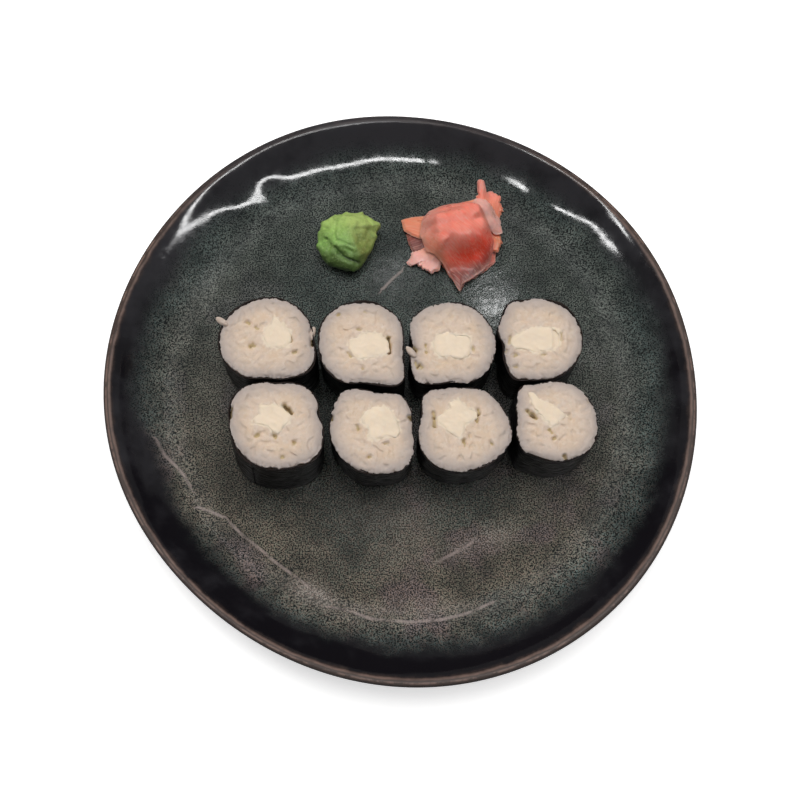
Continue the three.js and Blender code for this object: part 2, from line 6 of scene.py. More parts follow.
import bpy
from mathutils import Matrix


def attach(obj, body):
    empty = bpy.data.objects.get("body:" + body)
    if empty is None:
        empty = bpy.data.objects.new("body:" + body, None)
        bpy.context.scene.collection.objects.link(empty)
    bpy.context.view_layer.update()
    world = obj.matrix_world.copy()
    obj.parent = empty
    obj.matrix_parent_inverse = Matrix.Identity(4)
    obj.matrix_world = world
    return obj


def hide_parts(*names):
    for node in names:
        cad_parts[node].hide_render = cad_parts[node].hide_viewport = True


bl_info = {
    "name": "Plate of maki rolls",
    "version": (1, 0, 0),
    "blender": (4, 5, 0),
    "location": "3D View > Sidebar > Maki",
    "description": "Stoneware plate with eight cut maki rolls, wasabi and pickled ginger",
    "category": "Add Mesh",
}

import math
import random

import bmesh
import bpy
import numpy as np
from bpy.props import FloatProperty, FloatVectorProperty, IntProperty, PointerProperty
from mathutils import Matrix, Vector, noise

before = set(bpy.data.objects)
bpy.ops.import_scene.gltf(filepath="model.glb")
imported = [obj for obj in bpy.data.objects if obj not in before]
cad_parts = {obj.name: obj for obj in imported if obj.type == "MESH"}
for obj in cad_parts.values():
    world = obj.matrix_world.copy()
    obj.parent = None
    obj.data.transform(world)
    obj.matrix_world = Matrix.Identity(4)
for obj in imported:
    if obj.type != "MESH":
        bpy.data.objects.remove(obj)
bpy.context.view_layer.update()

MM = 0.001
TURN = 2 * math.pi

# ---- Driving dimensions, in millimetres and degrees ----

PLATE_RADIUS = 106.2
RIM_HEIGHT = 20.7
FLOOR_HEIGHT = 6.5
FLOOR_SHARE = 0.75
WALL_CURVE = 2.1
WALL_FLARE = 1
PLATE_THICKNESS = 4
LIP = 1.7
LIP_SLOPE = 58  # from upright, where the wall meets the lip
LIP_END = -50  # where the lip turns into the outside wall
ROLL_OVER = (0.945, 0.059)  # share where the wall starts to flatten, and how fast
FOOT_RADIUS = 57
FOOT_WIDTH = 5
FOOT_TAPER = 1
FOOT_ROUNDING = (0.3, 0.4)  # of its edges, across and up
PLATE_STEPS = 240
FLOOR_RINGS, WALL_RINGS, LIP_RINGS = 30, 40, 12

RIM_WAVES = [(2, 1.9, -52), (3, 0.5, 59), (4, 0.3, 18), (5, 0.2, -32)]  # lobes, swell, bearing
RIM_LIFT = (3, 0.6, 20)  # lobes, size, bearing
WALL_STARTS = [  # where the wall starts sooner or later: bearing, share of the radius, spread
    (98, 0.006, 16), (158, 0.012, 9), (144, 0.010, 7), (132, -0.012, 4), (48, -0.012, 7),
]
WAVE_ZONE = (0.66, 0.85, 0.96, 1.0)  # shares of the radius between which the wall is uneven
START_ZONE = (0.68, 0.84, 0.87, 0.99)  # and between which its start shifts it
BROAD_WAVE, FINE_WAVE = 30, 14
FLOOR_UNEVENNESS = 0.22  # of the wall's
FOOT_FADE = 3  # height over which the unevenness sets in
POTTERS_RIDGE = [  # fine raised lines left by the potter's fingers, which carry a painted highlight of the long lights
    [(-88, -19), (-84.5, -25), (-81, -28.1), (-77.5, -32), (-74.5, -37)],
    [(-71.5, -43.6), (-67, -45.2), (-63, -47)],
    [(-61, -48.6), (-56, -53.5), (-51.5, -56.9), (-44.3, -62.9), (-38, -67.4), (-32, -72)],
    [(-25, -78.5), (-17.1, -80.4), (-10.2, -82.9), (3, -83.9), (13.3, -83.2), (22.3, -81.1), (32, -77)],
    [(12, -63.2), (19, -59.6), (25, -56)],
    [(-7, 39.6), (-3.5, 43.6), (0, 47)],
]
RIDGE_FADE = (1.5, 4)  # distances over which a ridge is forgotten
HAND_MARKS = [  # x, y, reach, rise
    (-50, 77.6, 5, 0.7), (49, 80, 8, 0.5), (-40, -66, 7, -0.2), (-20, -78, 5, 0.25),
]
PALE_PATCHES = [  # where the glaze runs thin, and painted reflections of the long lights on the near wall: x, y, half-length, half-width, bearing, strength
    (-30, -74, 10, 3.6, 335, 0.9), (3, -79, 24, 3.5, 2, 0.45), (34, -54, 6, 4, 20, 0.8),
    (22, -58, 7, 2.5, 35, 0.6), (-72, -44, 7, 5, 310, 0.05), (-86, -22, 5, 9, 340, 0.1),
    (-70, 40, 14, 9, 60, 0.35), (76, 12, 14, 8, 95, 0.25), (-22, -58, 14, 8, 10, 0.1),
    (4, -58, 16, 8, 5, 0.25), (-60, 6, 14, 10, 90, 0.3), (-4, -46, 18, 9, 0, 0.4),
]

ROLL_FOOT = 6.65
ROLL_HEIGHT = 25.5
CAP_DEPTH = 1.6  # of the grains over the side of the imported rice

# The cut face: how far it lies under the roll's top, how far its middle rises, its rim falls and it swells
CUT_INSET, CUT_CROWN, CUT_ROUNDING, CUT_SWELL = 0.1, 0.45, 1.5, 0.22
CUT_DEPTH = 0.12  # of the knife's cut below the crowns of the grains
CUT_REACH = 1.4  # depth below which the knife leaves the gaps alone
CROWNS, GROOVES = 0.15, 0.6  # what the cut leaves of the crowns and of the grooves between grains
FACE_HEIGHTS = (-3.2, -1.6)  # over the cut, between which the side of the rice turns into its face
CHEESE_LIFT, CHEESE_LIFT_REACH = 0.6, 0.7  # how the grooves fill up towards the cheese
CHEESE_RAGGEDNESS, RAGGED_PITCH = 1.3, 1.1  # of the cheese's smear and of the gaps
SMEAR_REACH = 0.9  # of the cheese over the rice
GAP_FLAT, DEEPEST_GAP = 0.18, 2.0  # half-width of a gap's flat bottom, and the depth at which the painted shade in a gap is darkest
CREASE_DEPTH, CREASE_WIDTH, CREASE_PITCH = 0.06, 0.10, 2.3  # width as noise, not millimetres
RIM_INSET, RIM_BULGE = 0.68, 0.78  # of the rice inside its seaweed, and over the seaweed's edge
NOTCH_DROP, NOTCH_DEPTH, NOTCH_WIDTH, NOTCH_PITCH = 0.12, 0.28, 0.16, 1.7

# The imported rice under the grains, and the grains
CORE_DEPTH, CORE_INSET, FACE_INSET, CORE_OVERLAP, SHOULDER_DROP = 1.0, 0.8, 0.7, 0.2, 0.3
CORE_STEPS, CORE_RINGS = 96, 14
GRAIN_TAPER, GRAIN_BEND, GRAIN_FLATNESS = 0.18, 0.10, 0.9
GRAIN_TRIES, GRAIN_MARGIN = 1400, 0.9
RIM_GRAINS = 0.86  # share of the radius beyond which grains lie along the rim
RIM_ROWS = ((1.3, 1.6), (1.25, 0.95))  # inset and drop of each row of grains in the rim
RIM_CROWDING = 0.62  # of their length, from one to the next
# The loose grains' tilt, and the share of the radius they are given, which sets how much painted rim shade they
# get
LOOSE_TILT, LOOSE_RIM_SHARE = 0.1, 0.8

NORI_INSET = 0.02
NORI_DROP = 1.15  # of the seaweed's edge below the cut face
NORI_OVERLAP = 26
NORI_CELLS = (176, 30)  # round it and up it
NORI_ROUND = 16  # radius on which its wrinkles are laid out
START_SINKS, END_STANDS = 0.3, 0.35  # of the sheet where it lies double

CHEESE_STEPS, CHEESE_RINGS = 112, 20
CHEESE_OVERLAP, CHEESE_ROUNDING, CHEESE_PROUD = 0.3, 0.35, 0.45
CHEESE_ROUND = 6  # radius on which the bends of its side are laid out

# Each roll: middle of its cut face, rise, lean of that face, mean radius, bearing of the seaweed's overlap,
# bulges (bearing, size, spread), the corners of its cheese, a step across its cheese (x, drop), the loose
# grains (bearing, reach, heading, depth) and the gaps between grains (x, y to x, y, half-width, depth).
ROLLS = [
    dict(
        name="back_1", x=-46.6, y=10.9, rise=0, lean=(0.2, -0.4), radius=16.0, seam=120,
        bulges=[(180, 1.6, 40), (327, 2.7, 22), (268, -1.8, 22)],
        cheese=[(2.3, 8.2), (1, 5.4), (-0.9, 3.9), (-1.6, 0.9), (-0.4, -2.6), (3.1, -3.4), (6.9, -2.6),
                (8.2, -0.3), (7.4, 2.9), (5, 5.4)],
        loose=[(158, 17.6, 145, 0.5), (10, 15.6, 80, 2.0)],
        gaps=[(-7.4, 6.2, -6.9, 5.8, 0.6, 1.2), (-4.2, 4.4, -3.8, 4.0, 0.5, 1.0),
              (-5.7, -2.7, -5.2, -2.4, 0.7, 1.3), (7.8, 0.3, 8.1, -0.4, 0.5, 1.2),
              (15.6, 3.3, 15.8, -1.6, 0.6, 2.2), (9.0, -5.0, 10.2, -4.4, 0.4, 0.8)],
    ),
    dict(
        name="back_2", x=-13.4, y=9.3, rise=0, lean=(0.2, -1.6), radius=15.9, seam=75,
        bulges=[(0, -1.5, 25), (140, 1.0, 30), (313, 3.9, 16), (268, -1.6, 18), (180, -0.4, 16)],
        cheese=[(-4.3, 1.3), (-1.7, 1.9), (-0.9, 3.1), (3.2, 3.8), (5.7, 3.3), (8.5, 0.9), (9, -3),
                (7, -4.4), (3.3, -5), (-1.6, -6), (-3.3, -4.4), (-4.8, -1.7)],
        gaps=[(8.9, 1.9, 9.3, -3.3, 0.55, 1.6), (-1.8, 5.2, -1.2, 5.1, 0.5, 1.0),
              (-0.2, -9.1, 0.3, -9.0, 0.5, 1.0), (-8.8, 10.8, -8.4, 10.7, 0.5, 0.8),
              (0.6, 11.9, 0.9, 11.8, 0.5, 0.8), (-5.4, -3.2, -4.2, -4.6, 0.4, 0.9)],
    ),
    dict(
        name="back_3", x=17.3, y=9.1, rise=0, lean=(0.3, -1.8), radius=16.1, seam=60,
        bulges=[(137, 1.0, 16), (178, -2.1, 16), (228, 2.2, 15), (272, -1.9, 18)],
        cheese=[(-6.2, 0.1), (-4.8, 3.1), (-1, 3.8), (2.8, 3.1), (6.5, 2.6), (6.6, -0.9), (5.5, -4.6),
                (2.7, -5.4), (-0.6, -4.5), (-3.9, -5.2), (-5.9, -2.9)],
        loose=[(192, 14.2, 130, 0.6)],
        gaps=[(-13.3, -1.6, -12.9, -2.4, 0.9, 1.9), (-10.9, -7.8, -10.4, -8.2, 0.7, 1.5),
              (-12.6, -6.3, -11.8, -8.6, 0.5, 1.2), (7.6, -1.4, 8.0, -2.8, 0.4, 0.8),
              (-8.8, -0.4, -8.5, -3.0, 0.4, 1.0)],
    ),
    dict(
        name="back_4", x=48.2, y=11.2, rise=0, lean=(0.6, -1.0), radius=15.3, seam=40,
        bulges=[(128, 1.9, 14), (190, -2.3, 18), (238, 2.0, 14)],
        cheese=[(-9.5, -0.1), (-6.5, 2), (-2.6, 3.8), (4.9, 3.7), (7.1, 1.7), (6.6, -2.5), (4.3, -4.3),
                (-0.1, -5.3), (-2, -5.5), (-4.7, -4.1), (-8.3, -3.5), (-9.8, -1.7)],
        ledge=(4.6, 0.55),
        gaps=[(-12.2, -4.4, -11.6, -4.6, 0.5, 0.9), (-8.8, -6.3, -8.2, -6.1, 0.6, 1.1),
              (-8.9, -10.3, -8.5, -10.2, 0.5, 0.9), (-10.2, 0.6, -10.6, -1.6, 0.35, 0.8),
              (7.8, 1.6, 7.7, -0.6, 0.4, 0.8), (0.6, -6.2, 1.4, -6.1, 0.4, 0.8)],
    ),
    dict(
        name="front_1", x=-42.6, y=-19.9, rise=1.0, lean=(1.4, 0.8), radius=16.1, seam=215,
        bulges=[(145, 2.2, 25), (90, -1.2, 16), (320, 2.2, 24), (45, 0.7, 15), (12, -1.2, 12)],
        cheese=[(-5.7, 5.9), (-3, 6.5), (0.7, 6.4), (2.6, 4.4), (4.8, 2.4), (4.1, 0.1), (1.7, -1.3),
                (0.5, -3.9), (-1.2, -3.1), (-2.9, -1.3), (-5.1, -0.7), (-7.5, -0.5), (-7.9, 1.1),
                (-6.1, 3.4)],
        gaps=[(2.4, 6.1, 5.2, 3.6, 0.6, 1.7), (-6.8, -4.6, -6.2, -4.3, 0.7, 1.2),
              (-0.7, -4.6, -0.3, -4.8, 0.6, 1.2), (6.1, -7.0, 6.5, -6.8, 0.5, 1.0),
              (1.9, -11.9, 2.3, -11.8, 0.5, 1.0), (-15.7, 5.7, -16.3, 2.5, 0.6, 1.6),
              (14.8, 3.6, 15.2, 2.9, 0.6, 1.4)],
    ),
    dict(
        name="front_2", x=-9.9, y=-21.7, rise=-0.8, lean=(0.6, -1.7), radius=15.6, seam=250,
        bulges=[(0, -1.5, 20), (82, -1.7, 16), (128, 2.0, 18), (215, -1.0, 30), (310, 2.2, 24),
                (45, 0.7, 14)],
        cheese=[(-3.8, 4.2), (-1.1, 7.1), (3.6, 8.2), (6.2, 6.3), (8.2, 3.4), (9.1, -0.4), (8, -2.6),
                (4.3, -2.6), (-0.1, -4), (-1.6, -2.6), (-1, 0.3), (-3.3, 2.2)],
        gaps=[(-1.1, -9.7, -0.7, -9.5, 0.5, 1.0), (-14.2, 4.8, -14.0, 4.0, 0.6, 1.4),
              (12.8, 4.5, 13.6, 3.9, 0.7, 1.6), (-5.2, 1.4, -4.9, -0.2, 0.4, 0.9),
              (4.0, -5.0, 5.2, -4.6, 0.4, 0.8)],
    ),
    dict(
        name="front_3", x=21.0, y=-21.0, rise=-0.9, lean=(0.5, -1.5), radius=16.0, seam=290,
        bulges=[(0, 0.7, 25), (90, -0.9, 20), (136, 2.4, 14), (170, -0.9, 16), (225, 0.9, 22),
                (285, -0.7, 20), (345, 1.0, 20)],
        cheese=[(-8.7, 3.5), (-5.9, 5.5), (-4.2, 6.9), (-4.7, 8.9), (-1.2, 9.8), (1.6, 7.4), (4.8, 5),
                (4.4, 3.1), (2.4, 2.1), (0.7, 0.7), (-0.5, -4.1), (-2.7, -2.7), (-5.9, -0.3), (-8.2, 1.6)],
        gaps=[(-15.3, 8.1, -15.3, 4.5, 0.6, 1.6), (5.4, 6.3, 5.6, 4.9, 0.45, 1.1),
              (5.2, 4.2, 4.9, 2.2, 0.4, 1.2), (0.2, -4.4, 0.6, -6.0, 0.5, 1.2),
              (-9.9, 5.6, -9.7, 4.0, 0.45, 1.1), (-9.9, 3.2, -9.5, 0.6, 0.5, 1.3),
              (9.6, -5.1, 10.0, -5.5, 0.4, 0.8), (1.8, -2.2, 2.4, -3.6, 0.4, 0.9)],
    ),
    dict(
        name="front_4", x=52.7, y=-18.6, rise=0.3, lean=(1.2, -0.4), radius=14.7, seam=320,
        bulges=[(134, 2.6, 12), (178, -1.3, 16), (225, 1.1, 12), (322, 1.0, 24)],
        cheese=[(-9.2, 10), (-6.9, 9.5), (-5.2, 7.1), (-1, 5.6), (1.2, 3.5), (3.2, 1.6), (1.5, 0.2),
                (0.1, -1.3), (-1.5, -2.8), (-3.4, -0.7), (-4.9, 1.8), (-6.2, 2.9), (-8, 6.1)],
        gaps=[(-9.4, 3.2, -6.6, 0.7, 0.6, 1.4), (-0.8, -6.4, -0.4, -6.3, 0.6, 1.2),
              (2.7, -12.4, 3.1, -14.4, 0.4, 1.4), (11.3, 6.8, 11.6, 6.4, 0.5, 0.9),
              (-2.2, -3.4, -1.4, -4.6, 0.4, 0.9), (4.6, 1.8, 4.9, 0.4, 0.35, 0.7)],
    ),
]

WASABI_MIDDLE = (-20.5, 57.5)
WASABI_HEIGHT = 14
WASABI_WAIST = 0.36
WASABI_LUMP = 0.04
FACET_SHARPNESS = 24
WASABI_OUTLINE = [
    (-31.3, 58.2), (-31.1, 53.5), (-29.4, 49.9), (-25.8, 47), (-20.9, 45.2), (-17.6, 45), (-14.8, 47.2),
    (-12, 51.5), (-9.8, 56.3), (-9.4, 60.5), (-7.6, 63), (-10.8, 65.3), (-14.6, 68), (-20.1, 68.3),
    (-25.6, 66.6), (-29.8, 62.8),
]
WASABI_FACETS = [  # bearing, rise, share of the radius at which it is cut
    (-4, 38, 0.80), (150, 58, 0.86), (262, 30, 0.84), (205, 42, 0.90), (80, 30, 0.90), (100, 70, 0.92),
]
WASABI_DENTS = [(1, 4.5, 2.2), (0.5, 2.0, 5.1), (0.22, 0.9, 9.1)]  # size, pitch, start
WASABI_NUB = (0.75, 0.8)  # height and spread
WASABI_NUBS = [
    (-8.3, 64.0), (-9.8, 58.4), (-31.2, 59.7), (-29.8, 63.8), (-31.0, 54.4), (-20.9, 68.6), (-14.9, 68.4),
    (-26.5, 48.6), (-24.5, 64.5), (-17.0, 60.5),
]
WASABI_CREASES = [  # points on the way, half-width, depth
    ([(-24.4, 51.3), (-22.9, 49.6), (-21.1, 48.3), (-18.5, 47.3), (-15.8, 46.9)], 0.55, 1.3),
    ([(-20.6, 51.0), (-18.2, 49.8)], 0.8, 0.7), ([(-28.2, 55.5), (-27.8, 55.4)], 0.45, 0.9),
    ([(-24.5, 61.0), (-24.9, 57.6), (-24.2, 54.0), (-20.3, 52.3), (-17.6, 51.5)], 0.6, 0.5),
    ([(-13.6, 67.0), (-11.4, 63.2), (-9.9, 61.6)], 0.6, 0.8), ([(-21.5, 66.5), (-19.5, 64.5)], 0.7, 0.6),
    ([(-28.6, 60.2), (-26.6, 58.4)], 0.6, 0.5), ([(-27.4, 50.6), (-26.2, 53.0)], 0.6, 0.5),
]

GINGER_CLEARANCE = 0.25  # over the plate
SLICE_GAP = 0.35
SLICE_FADE = 4.5  # distance beyond its edge over which a slice still carries the next
SLICE_STIFFNESS = 0.5  # distance over which a slice rests on what is highest
EDGE_THINNING = 0.7
HEAP_HEIGHT = 10.5
HEAP_THICKNESS = 0.6

# The slices in the order they lie: middle, bearing of the fibres, hues (first, second, and the bearing along
# which the first turns to the second, from and to), further hues (with how strong they get), raggedness of
# the edge, outline and folds (x, y, bearing, height, half-width, half-length). The heap lies under them all.
# The deep hue is painted shade wherever the heap or a slice turns to it; the mauve towards the front of the top
# and front slices is painted shade too.
HEAP = dict(
    name="ginger_heap", middle=(22, 60.5), fibres=60, hues=("warm", "deep", 270, 0, 9), frill=0.3,
    outline=[(10.5, 58), (13.5, 52.5), (20, 50), (27, 50.5), (31.5, 55), (33, 62), (31, 69.5), (24, 71.5),
             (15.5, 69.5), (11, 64.5)],
)
SLICES = [
    dict(
        name="ginger_front", middle=(25.5, 49.5), fibres=250, hues=("pink", "mauve", 300, -1, 9), frill=0.5,
        outline=[(14, 50.5), (17.4, 45.7), (20.4, 41.0), (22.3, 38.4), (23.6, 41.6), (27, 43.8), (32, 47),
                 (35.4, 50.4), (36, 56), (30, 58.5), (22, 58), (16, 55.5)],
        folds=[(21.5, 45, 70, 1.0, 2.6, 6), (29, 49, 40, 0.9, 2.6, 5)],
    ),
    dict(
        name="ginger_under", middle=(8.5, 58.4), fibres=200, hues=("mauve", "pink", 20, -2, 9), frill=0.3,
        outline=[(1.8, 61.5), (2.8, 57.4), (4.4, 53.8), (9.5, 53), (14, 56.5), (14, 62.5), (7, 64.4)],
        folds=[(4.5, 58, 75, 0.8, 2.4, 5)],
    ),
    dict(
        name="ginger_ruffle", middle=(9, 50.4), fibres=225, hues=("pale", "warm", 60, -1, 7), frill=0.7,
        outline=[(1.6, 49.9), (3.2, 48.3), (5.6, 49), (8.4, 47.1), (11.4, 45.5), (14.4, 46.7), (16, 49.5),
                 (14.5, 54), (9.5, 55.4), (4.2, 53.4)],
        folds=[(5.2, 50.6, 110, 1.1, 2.2, 4), (11.5, 49, 70, 1.2, 2.2, 4)],
    ),
    dict(
        name="ginger_left", middle=(7.5, 64.2), fibres=165, hues=("warm", "pink", 330, 0, 8), frill=0.15,
        outline=[(-0.2, 67.3), (1, 62.4), (4, 60.2), (8.8, 58.4), (12.5, 60), (14, 66.5), (9, 69.3),
                 (4, 68.7)],
        folds=[(5, 65, 165, 1.2, 2.6, 6)],
    ),
    dict(
        name="ginger_rear", middle=(21, 70), fibres=10, hues=("pink", "warm", 0, -8, 8), frill=0.4,
        outline=[(8.6, 67.4), (13, 63.5), (21, 64.5), (30, 67.5), (32, 73), (29, 76.6), (22.8, 74),
                 (16.8, 72.2), (12, 70.8)],
        folds=[(21, 72.5, 15, 1.3, 2.4, 9)],
    ),
    dict(
        name="ginger_back", middle=(33, 72), fibres=80, hues=("warm", "pink", 90, -6, 8), frill=0.9,
        then=[("mauve", 90, 3, 8, 0.3), ("pale", 90, 3, 8, 0.35)],
        outline=[(27, 72.6), (28.6, 67), (32.4, 64), (36.9, 66.4), (38.3, 70.9), (37.3, 76.7), (34.6, 79),
                 (32.4, 78), (31.5, 82.8), (28.7, 82.8), (28.9, 77)],
        folds=[(30.2, 80, 95, 2.4, 2.6, 5), (35.5, 73, 75, 1.2, 2.6, 6)],
    ),
    dict(
        name="ginger_curl", middle=(33.8, 57.5), fibres=80, hues=("warm", "deep", 180, -3, 3), frill=0.6,
        outline=[(30, 60.8), (30, 56), (32.6, 52.8), (36.4, 54), (38.1, 58), (37.1, 61.8), (33, 63)],
        folds=[(36, 57.5, 80, 1.2, 2.2, 4)],
    ),
    dict(
        name="ginger_fold", middle=(32.4, 67.4), fibres=120, hues=("pale", "mauve", 280, 6, 15), frill=0.45,
        outline=[(24.6, 69.6), (28.4, 66), (31, 62.4), (34.9, 60), (38.2, 61.2), (37.5, 66.6),
                 (34.9, 70.6), (31.8, 74.6), (28.2, 74.6)],
        folds=[(34.2, 67.5, 118, 1.2, 1.7, 7), (30.2, 70.0, 140, 0.7, 1.2, 5)],
    ),
    dict(
        # Painted shade: deep towards the lower right, and mauve towards the front.
        name="ginger_top", middle=(20.5, 58.5), fibres=315, hues=("pink", "deep", 300, 2.5, 10), frill=0.1,
        then=[("warm", 215, 6, 11, 0.7), ("pink", 272, 9, 12, 0.8), ("mauve", 272, 9, 14, 0.95),
              # The pale towards the left is painted light on the shaded side.
              ("mauve", 320, 9.5, 15.5, 0.85), ("pale", 165, 5, 13, 0.35)],
        outline=[(6.8, 60), (8.9, 53.6), (12.8, 50.6), (15.4, 48.2), (17.6, 45.0), (19.6, 41.2),
                 (21.9, 37.4), (22.5, 40.6), (26, 42.8), (30.6, 46.2), (33.6, 50.6), (34.6, 56.8),
                 (32, 63.6), (29, 68.4), (25, 71), (20.1, 72), (14.9, 71.6), (10.4, 69.6), (7.8, 65.4)],
        folds=[(18.5, 61, 135, 0.8, 6, 8), (25, 69.5, 165, 0.9, 1.4, 8), (15, 69, 15, 0.6, 1.3, 5),
               (29.5, 64, 120, 0.6, 1.5, 5)],
    ),
]

CAMERA_TARGET = (-0.5, -4.05, 8)
SENSOR_WIDTH = 36
ROOM_TINT, ROOM_STRENGTH = (0.98, 0.98, 1.0, 1), 0.16
STAGE_REACH = 1.5  # metres, like the places and sizes of the lights
SOFTBOX_TARGET = (0, 0, 0.02)
SOFTBOX_TINT = (1.0, 0.99, 0.975)
SOFTBOXES = (  # name, place, size, share of the key light
    ("overhead_softbox", (0.1, 0.35, 1.3), (1.3, 1.0), 1),
    ("back_softbox", (-0.9, 0.8, 0.9), (0.6, 0.6), 0.3),
)
TUBES = (  # name, place, size, share of the tubes' power
    ("tube_left", (-1.04, -0.4, 1.2), (1.12, 0.09), 0.33),
    ("tube_right", (0.93, -0.4, 1.2), (1.86, 0.09), 0.5),
    ("tube_middle", (-0.11, -0.4, 1.2), (0.06, 0.09), 0.016),
    ("small_window", (0.118, 0.495, 1.2), (0.034, 0.030), 0.0030),
    ("small_lamp", (-0.006, 0.536, 1.2), (0.05, 0.015), 0.0008),
)

# ---- Tones that no setting changes, and where the glaze changes, as shares of the plate's radius ----

# Pale patches of thin glaze, and painted reflections of the long lights
PALE_GLAZE = (0.40, 0.35, 0.31, 1)
RUST_SPECKS = (0.25, 0.17, 0.135, 1)
# Painted highlight along the potter's ridges
RIDGE_GLAZE = (0.36, 0.29, 0.27, 1)
BAND_SHADOW = (0.0075, 0.0066, 0.0085, 1)
LIP_BROWN = (0.058, 0.040, 0.034, 1)
LIP_SHADOW = (0.012, 0.009, 0.008, 1)
WARM_RICE = (0.70, 0.545, 0.41, 1)
BRIGHT_RICE = (0.76, 0.66, 0.57, 1)
BROWN_RICE = (0.54, 0.43, 0.30, 1)
# Painted shade at the rim of the cut face
RIM_RICE = (0.42, 0.365, 0.345, 1)
SMEARED_RICE = (0.84, 0.72, 0.57, 1)
# Painted shade deep in the gaps between grains
DEEP_GAP = (0.16, 0.10, 0.045, 1)
WASABI_SHADE = (0.15, 0.25, 0.045, 1)
# Painted shade low on the front of the lump
WASABI_LOW = (0.068, 0.118, 0.024, 1)
WASABI_CRUMBS = (0.46, 0.62, 0.24, 1)
WASABI_PITS = (0.12, 0.20, 0.04, 1)
PALE_FIBRES = (0.88, 0.50, 0.40, 1)
# Painted light along the thin edges of the ginger
THIN_EDGE = (0.74, 0.40, 0.32, 1)

KHAKI_SHARES = (0.42, 0.70)
TEAL_SHARES = (0.76, 0.90)
BAND_SHARES = (0.905, 0.985)
LIP_SHARES = (0.962, 0.984)
EDGE_SHARES = (0.994, 1.0)
BRONZE_LINE = (0.970, 0.977, 0.977, 0.984)
EDGE_LINE = (0.984, 0.989, 0.990, 0.994)
WORN_SHARES = (0.968, 0.978)
WALL_FOOT = (0.735, 0.755, 0.80, 0.83)
RIDGE_GAPS = (0.15, 0.85)  # millimetres from a ridge line


# ---- What a user would change ----


def length(name, millimetres, about):
    return FloatProperty(name=name, description=about, default=millimetres * MM, min=0, unit="LENGTH")


def colour(name, value, about):
    return FloatVectorProperty(
        name=name, description=about, default=(*value, 1), size=4, min=0, max=1, subtype="COLOR"
    )


class PlateSettings(bpy.types.PropertyGroup):
    unevenness: length("Unevenness", 0.32, "Height of the waves in the hand-formed wall")
    speckle: length("Speckle", 0.5, "Spacing of the fine grain in the glaze")
    ground: colour("Ground", (0.007, 0.010, 0.010), "Near-black ground of the glaze")
    middle: colour("Middle", (0.130, 0.150, 0.125), "Grey-green of its grain in the middle")
    olive: colour("Khaki", (0.205, 0.188, 0.142), "Warm khaki of its grain round the middle")
    teal: colour("Teal", (0.136, 0.180, 0.168), "Grey-green of its grain at the edge")
    patch: colour("Patches", (0.200, 0.150, 0.155), "Brownish purple of its grain in patches")
    band: colour("Band", (0.026, 0.025, 0.029), "Near-black band inside the rim")
    lip: colour("Lip", (0.185, 0.121, 0.099), "Bronze where the glaze runs thin on the lip")


class RiceSettings(bpy.types.PropertyGroup):
    grain_length: length("Grain length", 5.4, "Length of a cooked grain")
    grain_width: length("Grain width", 2.4, "Width of a cooked grain")
    spacing: length("Spacing", 2.0, "Least distance between the middles of two grains")
    fineness: length("Fineness", 0.42, "Size of the faces of the packed rice")
    tint: colour("Rice", (0.70, 0.565, 0.46), "Colour of the cooked rice")
    # Painted shade down between the grains
    gap: colour("Gaps", (0.48, 0.37, 0.19), "Colour down between the grains")
    seed: IntProperty(name="Seed", description="Start of the random draw of the grains", default=11)


class NoriSettings(bpy.types.PropertyGroup):
    thickness: length("Thickness", 0.4, "Thickness of the damp seaweed")
    wrinkle: length("Wrinkle", 0.2, "Depth of its wrinkles")
    tint: colour("Seaweed", (0.0030, 0.0024, 0.0031), "Colour of the sheet")
    worn: colour("Edge", (0.020, 0.013, 0.011), "Colour of its top edge")


class CheeseSettings(bpy.types.PropertyGroup):
    smear: length("Smear", 0.16, "Depth of the marks that the knife leaves")
    tint: colour("Cheese", (0.86, 0.72, 0.56), "Colour of the cream cheese")


class WasabiSettings(bpy.types.PropertyGroup):
    kneading: length("Kneading", 0.4, "Depth of its dents and creases")
    tint: colour("Wasabi", (0.23, 0.42, 0.10), "Colour of the paste")
    dry: colour("Dry", (0.23, 0.27, 0.065), "Colour of its drier, more olive side")
    # Painted light on the top of the lump
    crown: colour("Crown", (0.47, 0.61, 0.185), "Colour of its crown")


class GingerSettings(bpy.types.PropertyGroup):
    thickness: length("Thickness", 0.9, "Thickness of a slice")
    crinkle: length("Crinkle", 0.3, "Depth of the crinkles in a slice")
    # Also painted light on the left side of the top slice
    pale: colour("Pale", (0.90, 0.47, 0.41), "Colour of the palest folds")
    pink: colour("Pink", (0.88, 0.25, 0.185), "Colour of the slice on top")
    # Painted shade where slices turn down to the front, and the tone of the dark fibres
    deep: colour("Deep", (0.94, 0.070, 0.030), "Deep red where light is lost between slices")
    warm: colour("Orange", (0.78, 0.270, 0.155), "Colour of the orange slices")
    # Also painted shade on the low front of the top and front slices
    mauve: colour("Mauve", (0.19, 0.064, 0.058), "Colour of a thin slice over the dark plate")


class StageSettings(bpy.types.PropertyGroup):
    distance: length("Camera distance", 480, "From the camera to what it looks at")
    elevation: FloatProperty(
        name="Camera elevation", description="Angle of the camera above the table",
        default=math.radians(73), subtype="ANGLE",
    )
    lens: FloatProperty(name="Lens", description="Focal length of the lens in millimetres", default=59.6)
    key: FloatProperty(name="Key light", description="Power of the large soft light", default=15.4, min=0)
    tubes: FloatProperty(name="Tubes", description="Power of the long narrow lights", default=22.0, min=0)
    floor: colour("Floor", (0.90, 0.90, 0.90), "Colour of the floor")


# ---- Outlines and heights ----


def turn_between(a, b):
    return np.arctan2(np.sin(a - b), np.cos(a - b))


def smooth_step(low, high, value):
    part = np.clip((value - low) / (high - low), 0, 1)
    return part * part * (3 - 2 * part)


def within(zone, value):
    """Rises over the first two values of a zone and falls over the last two."""
    return float(smooth_step(zone[0], zone[1], value)) * (1 - float(smooth_step(zone[2], zone[3], value)))


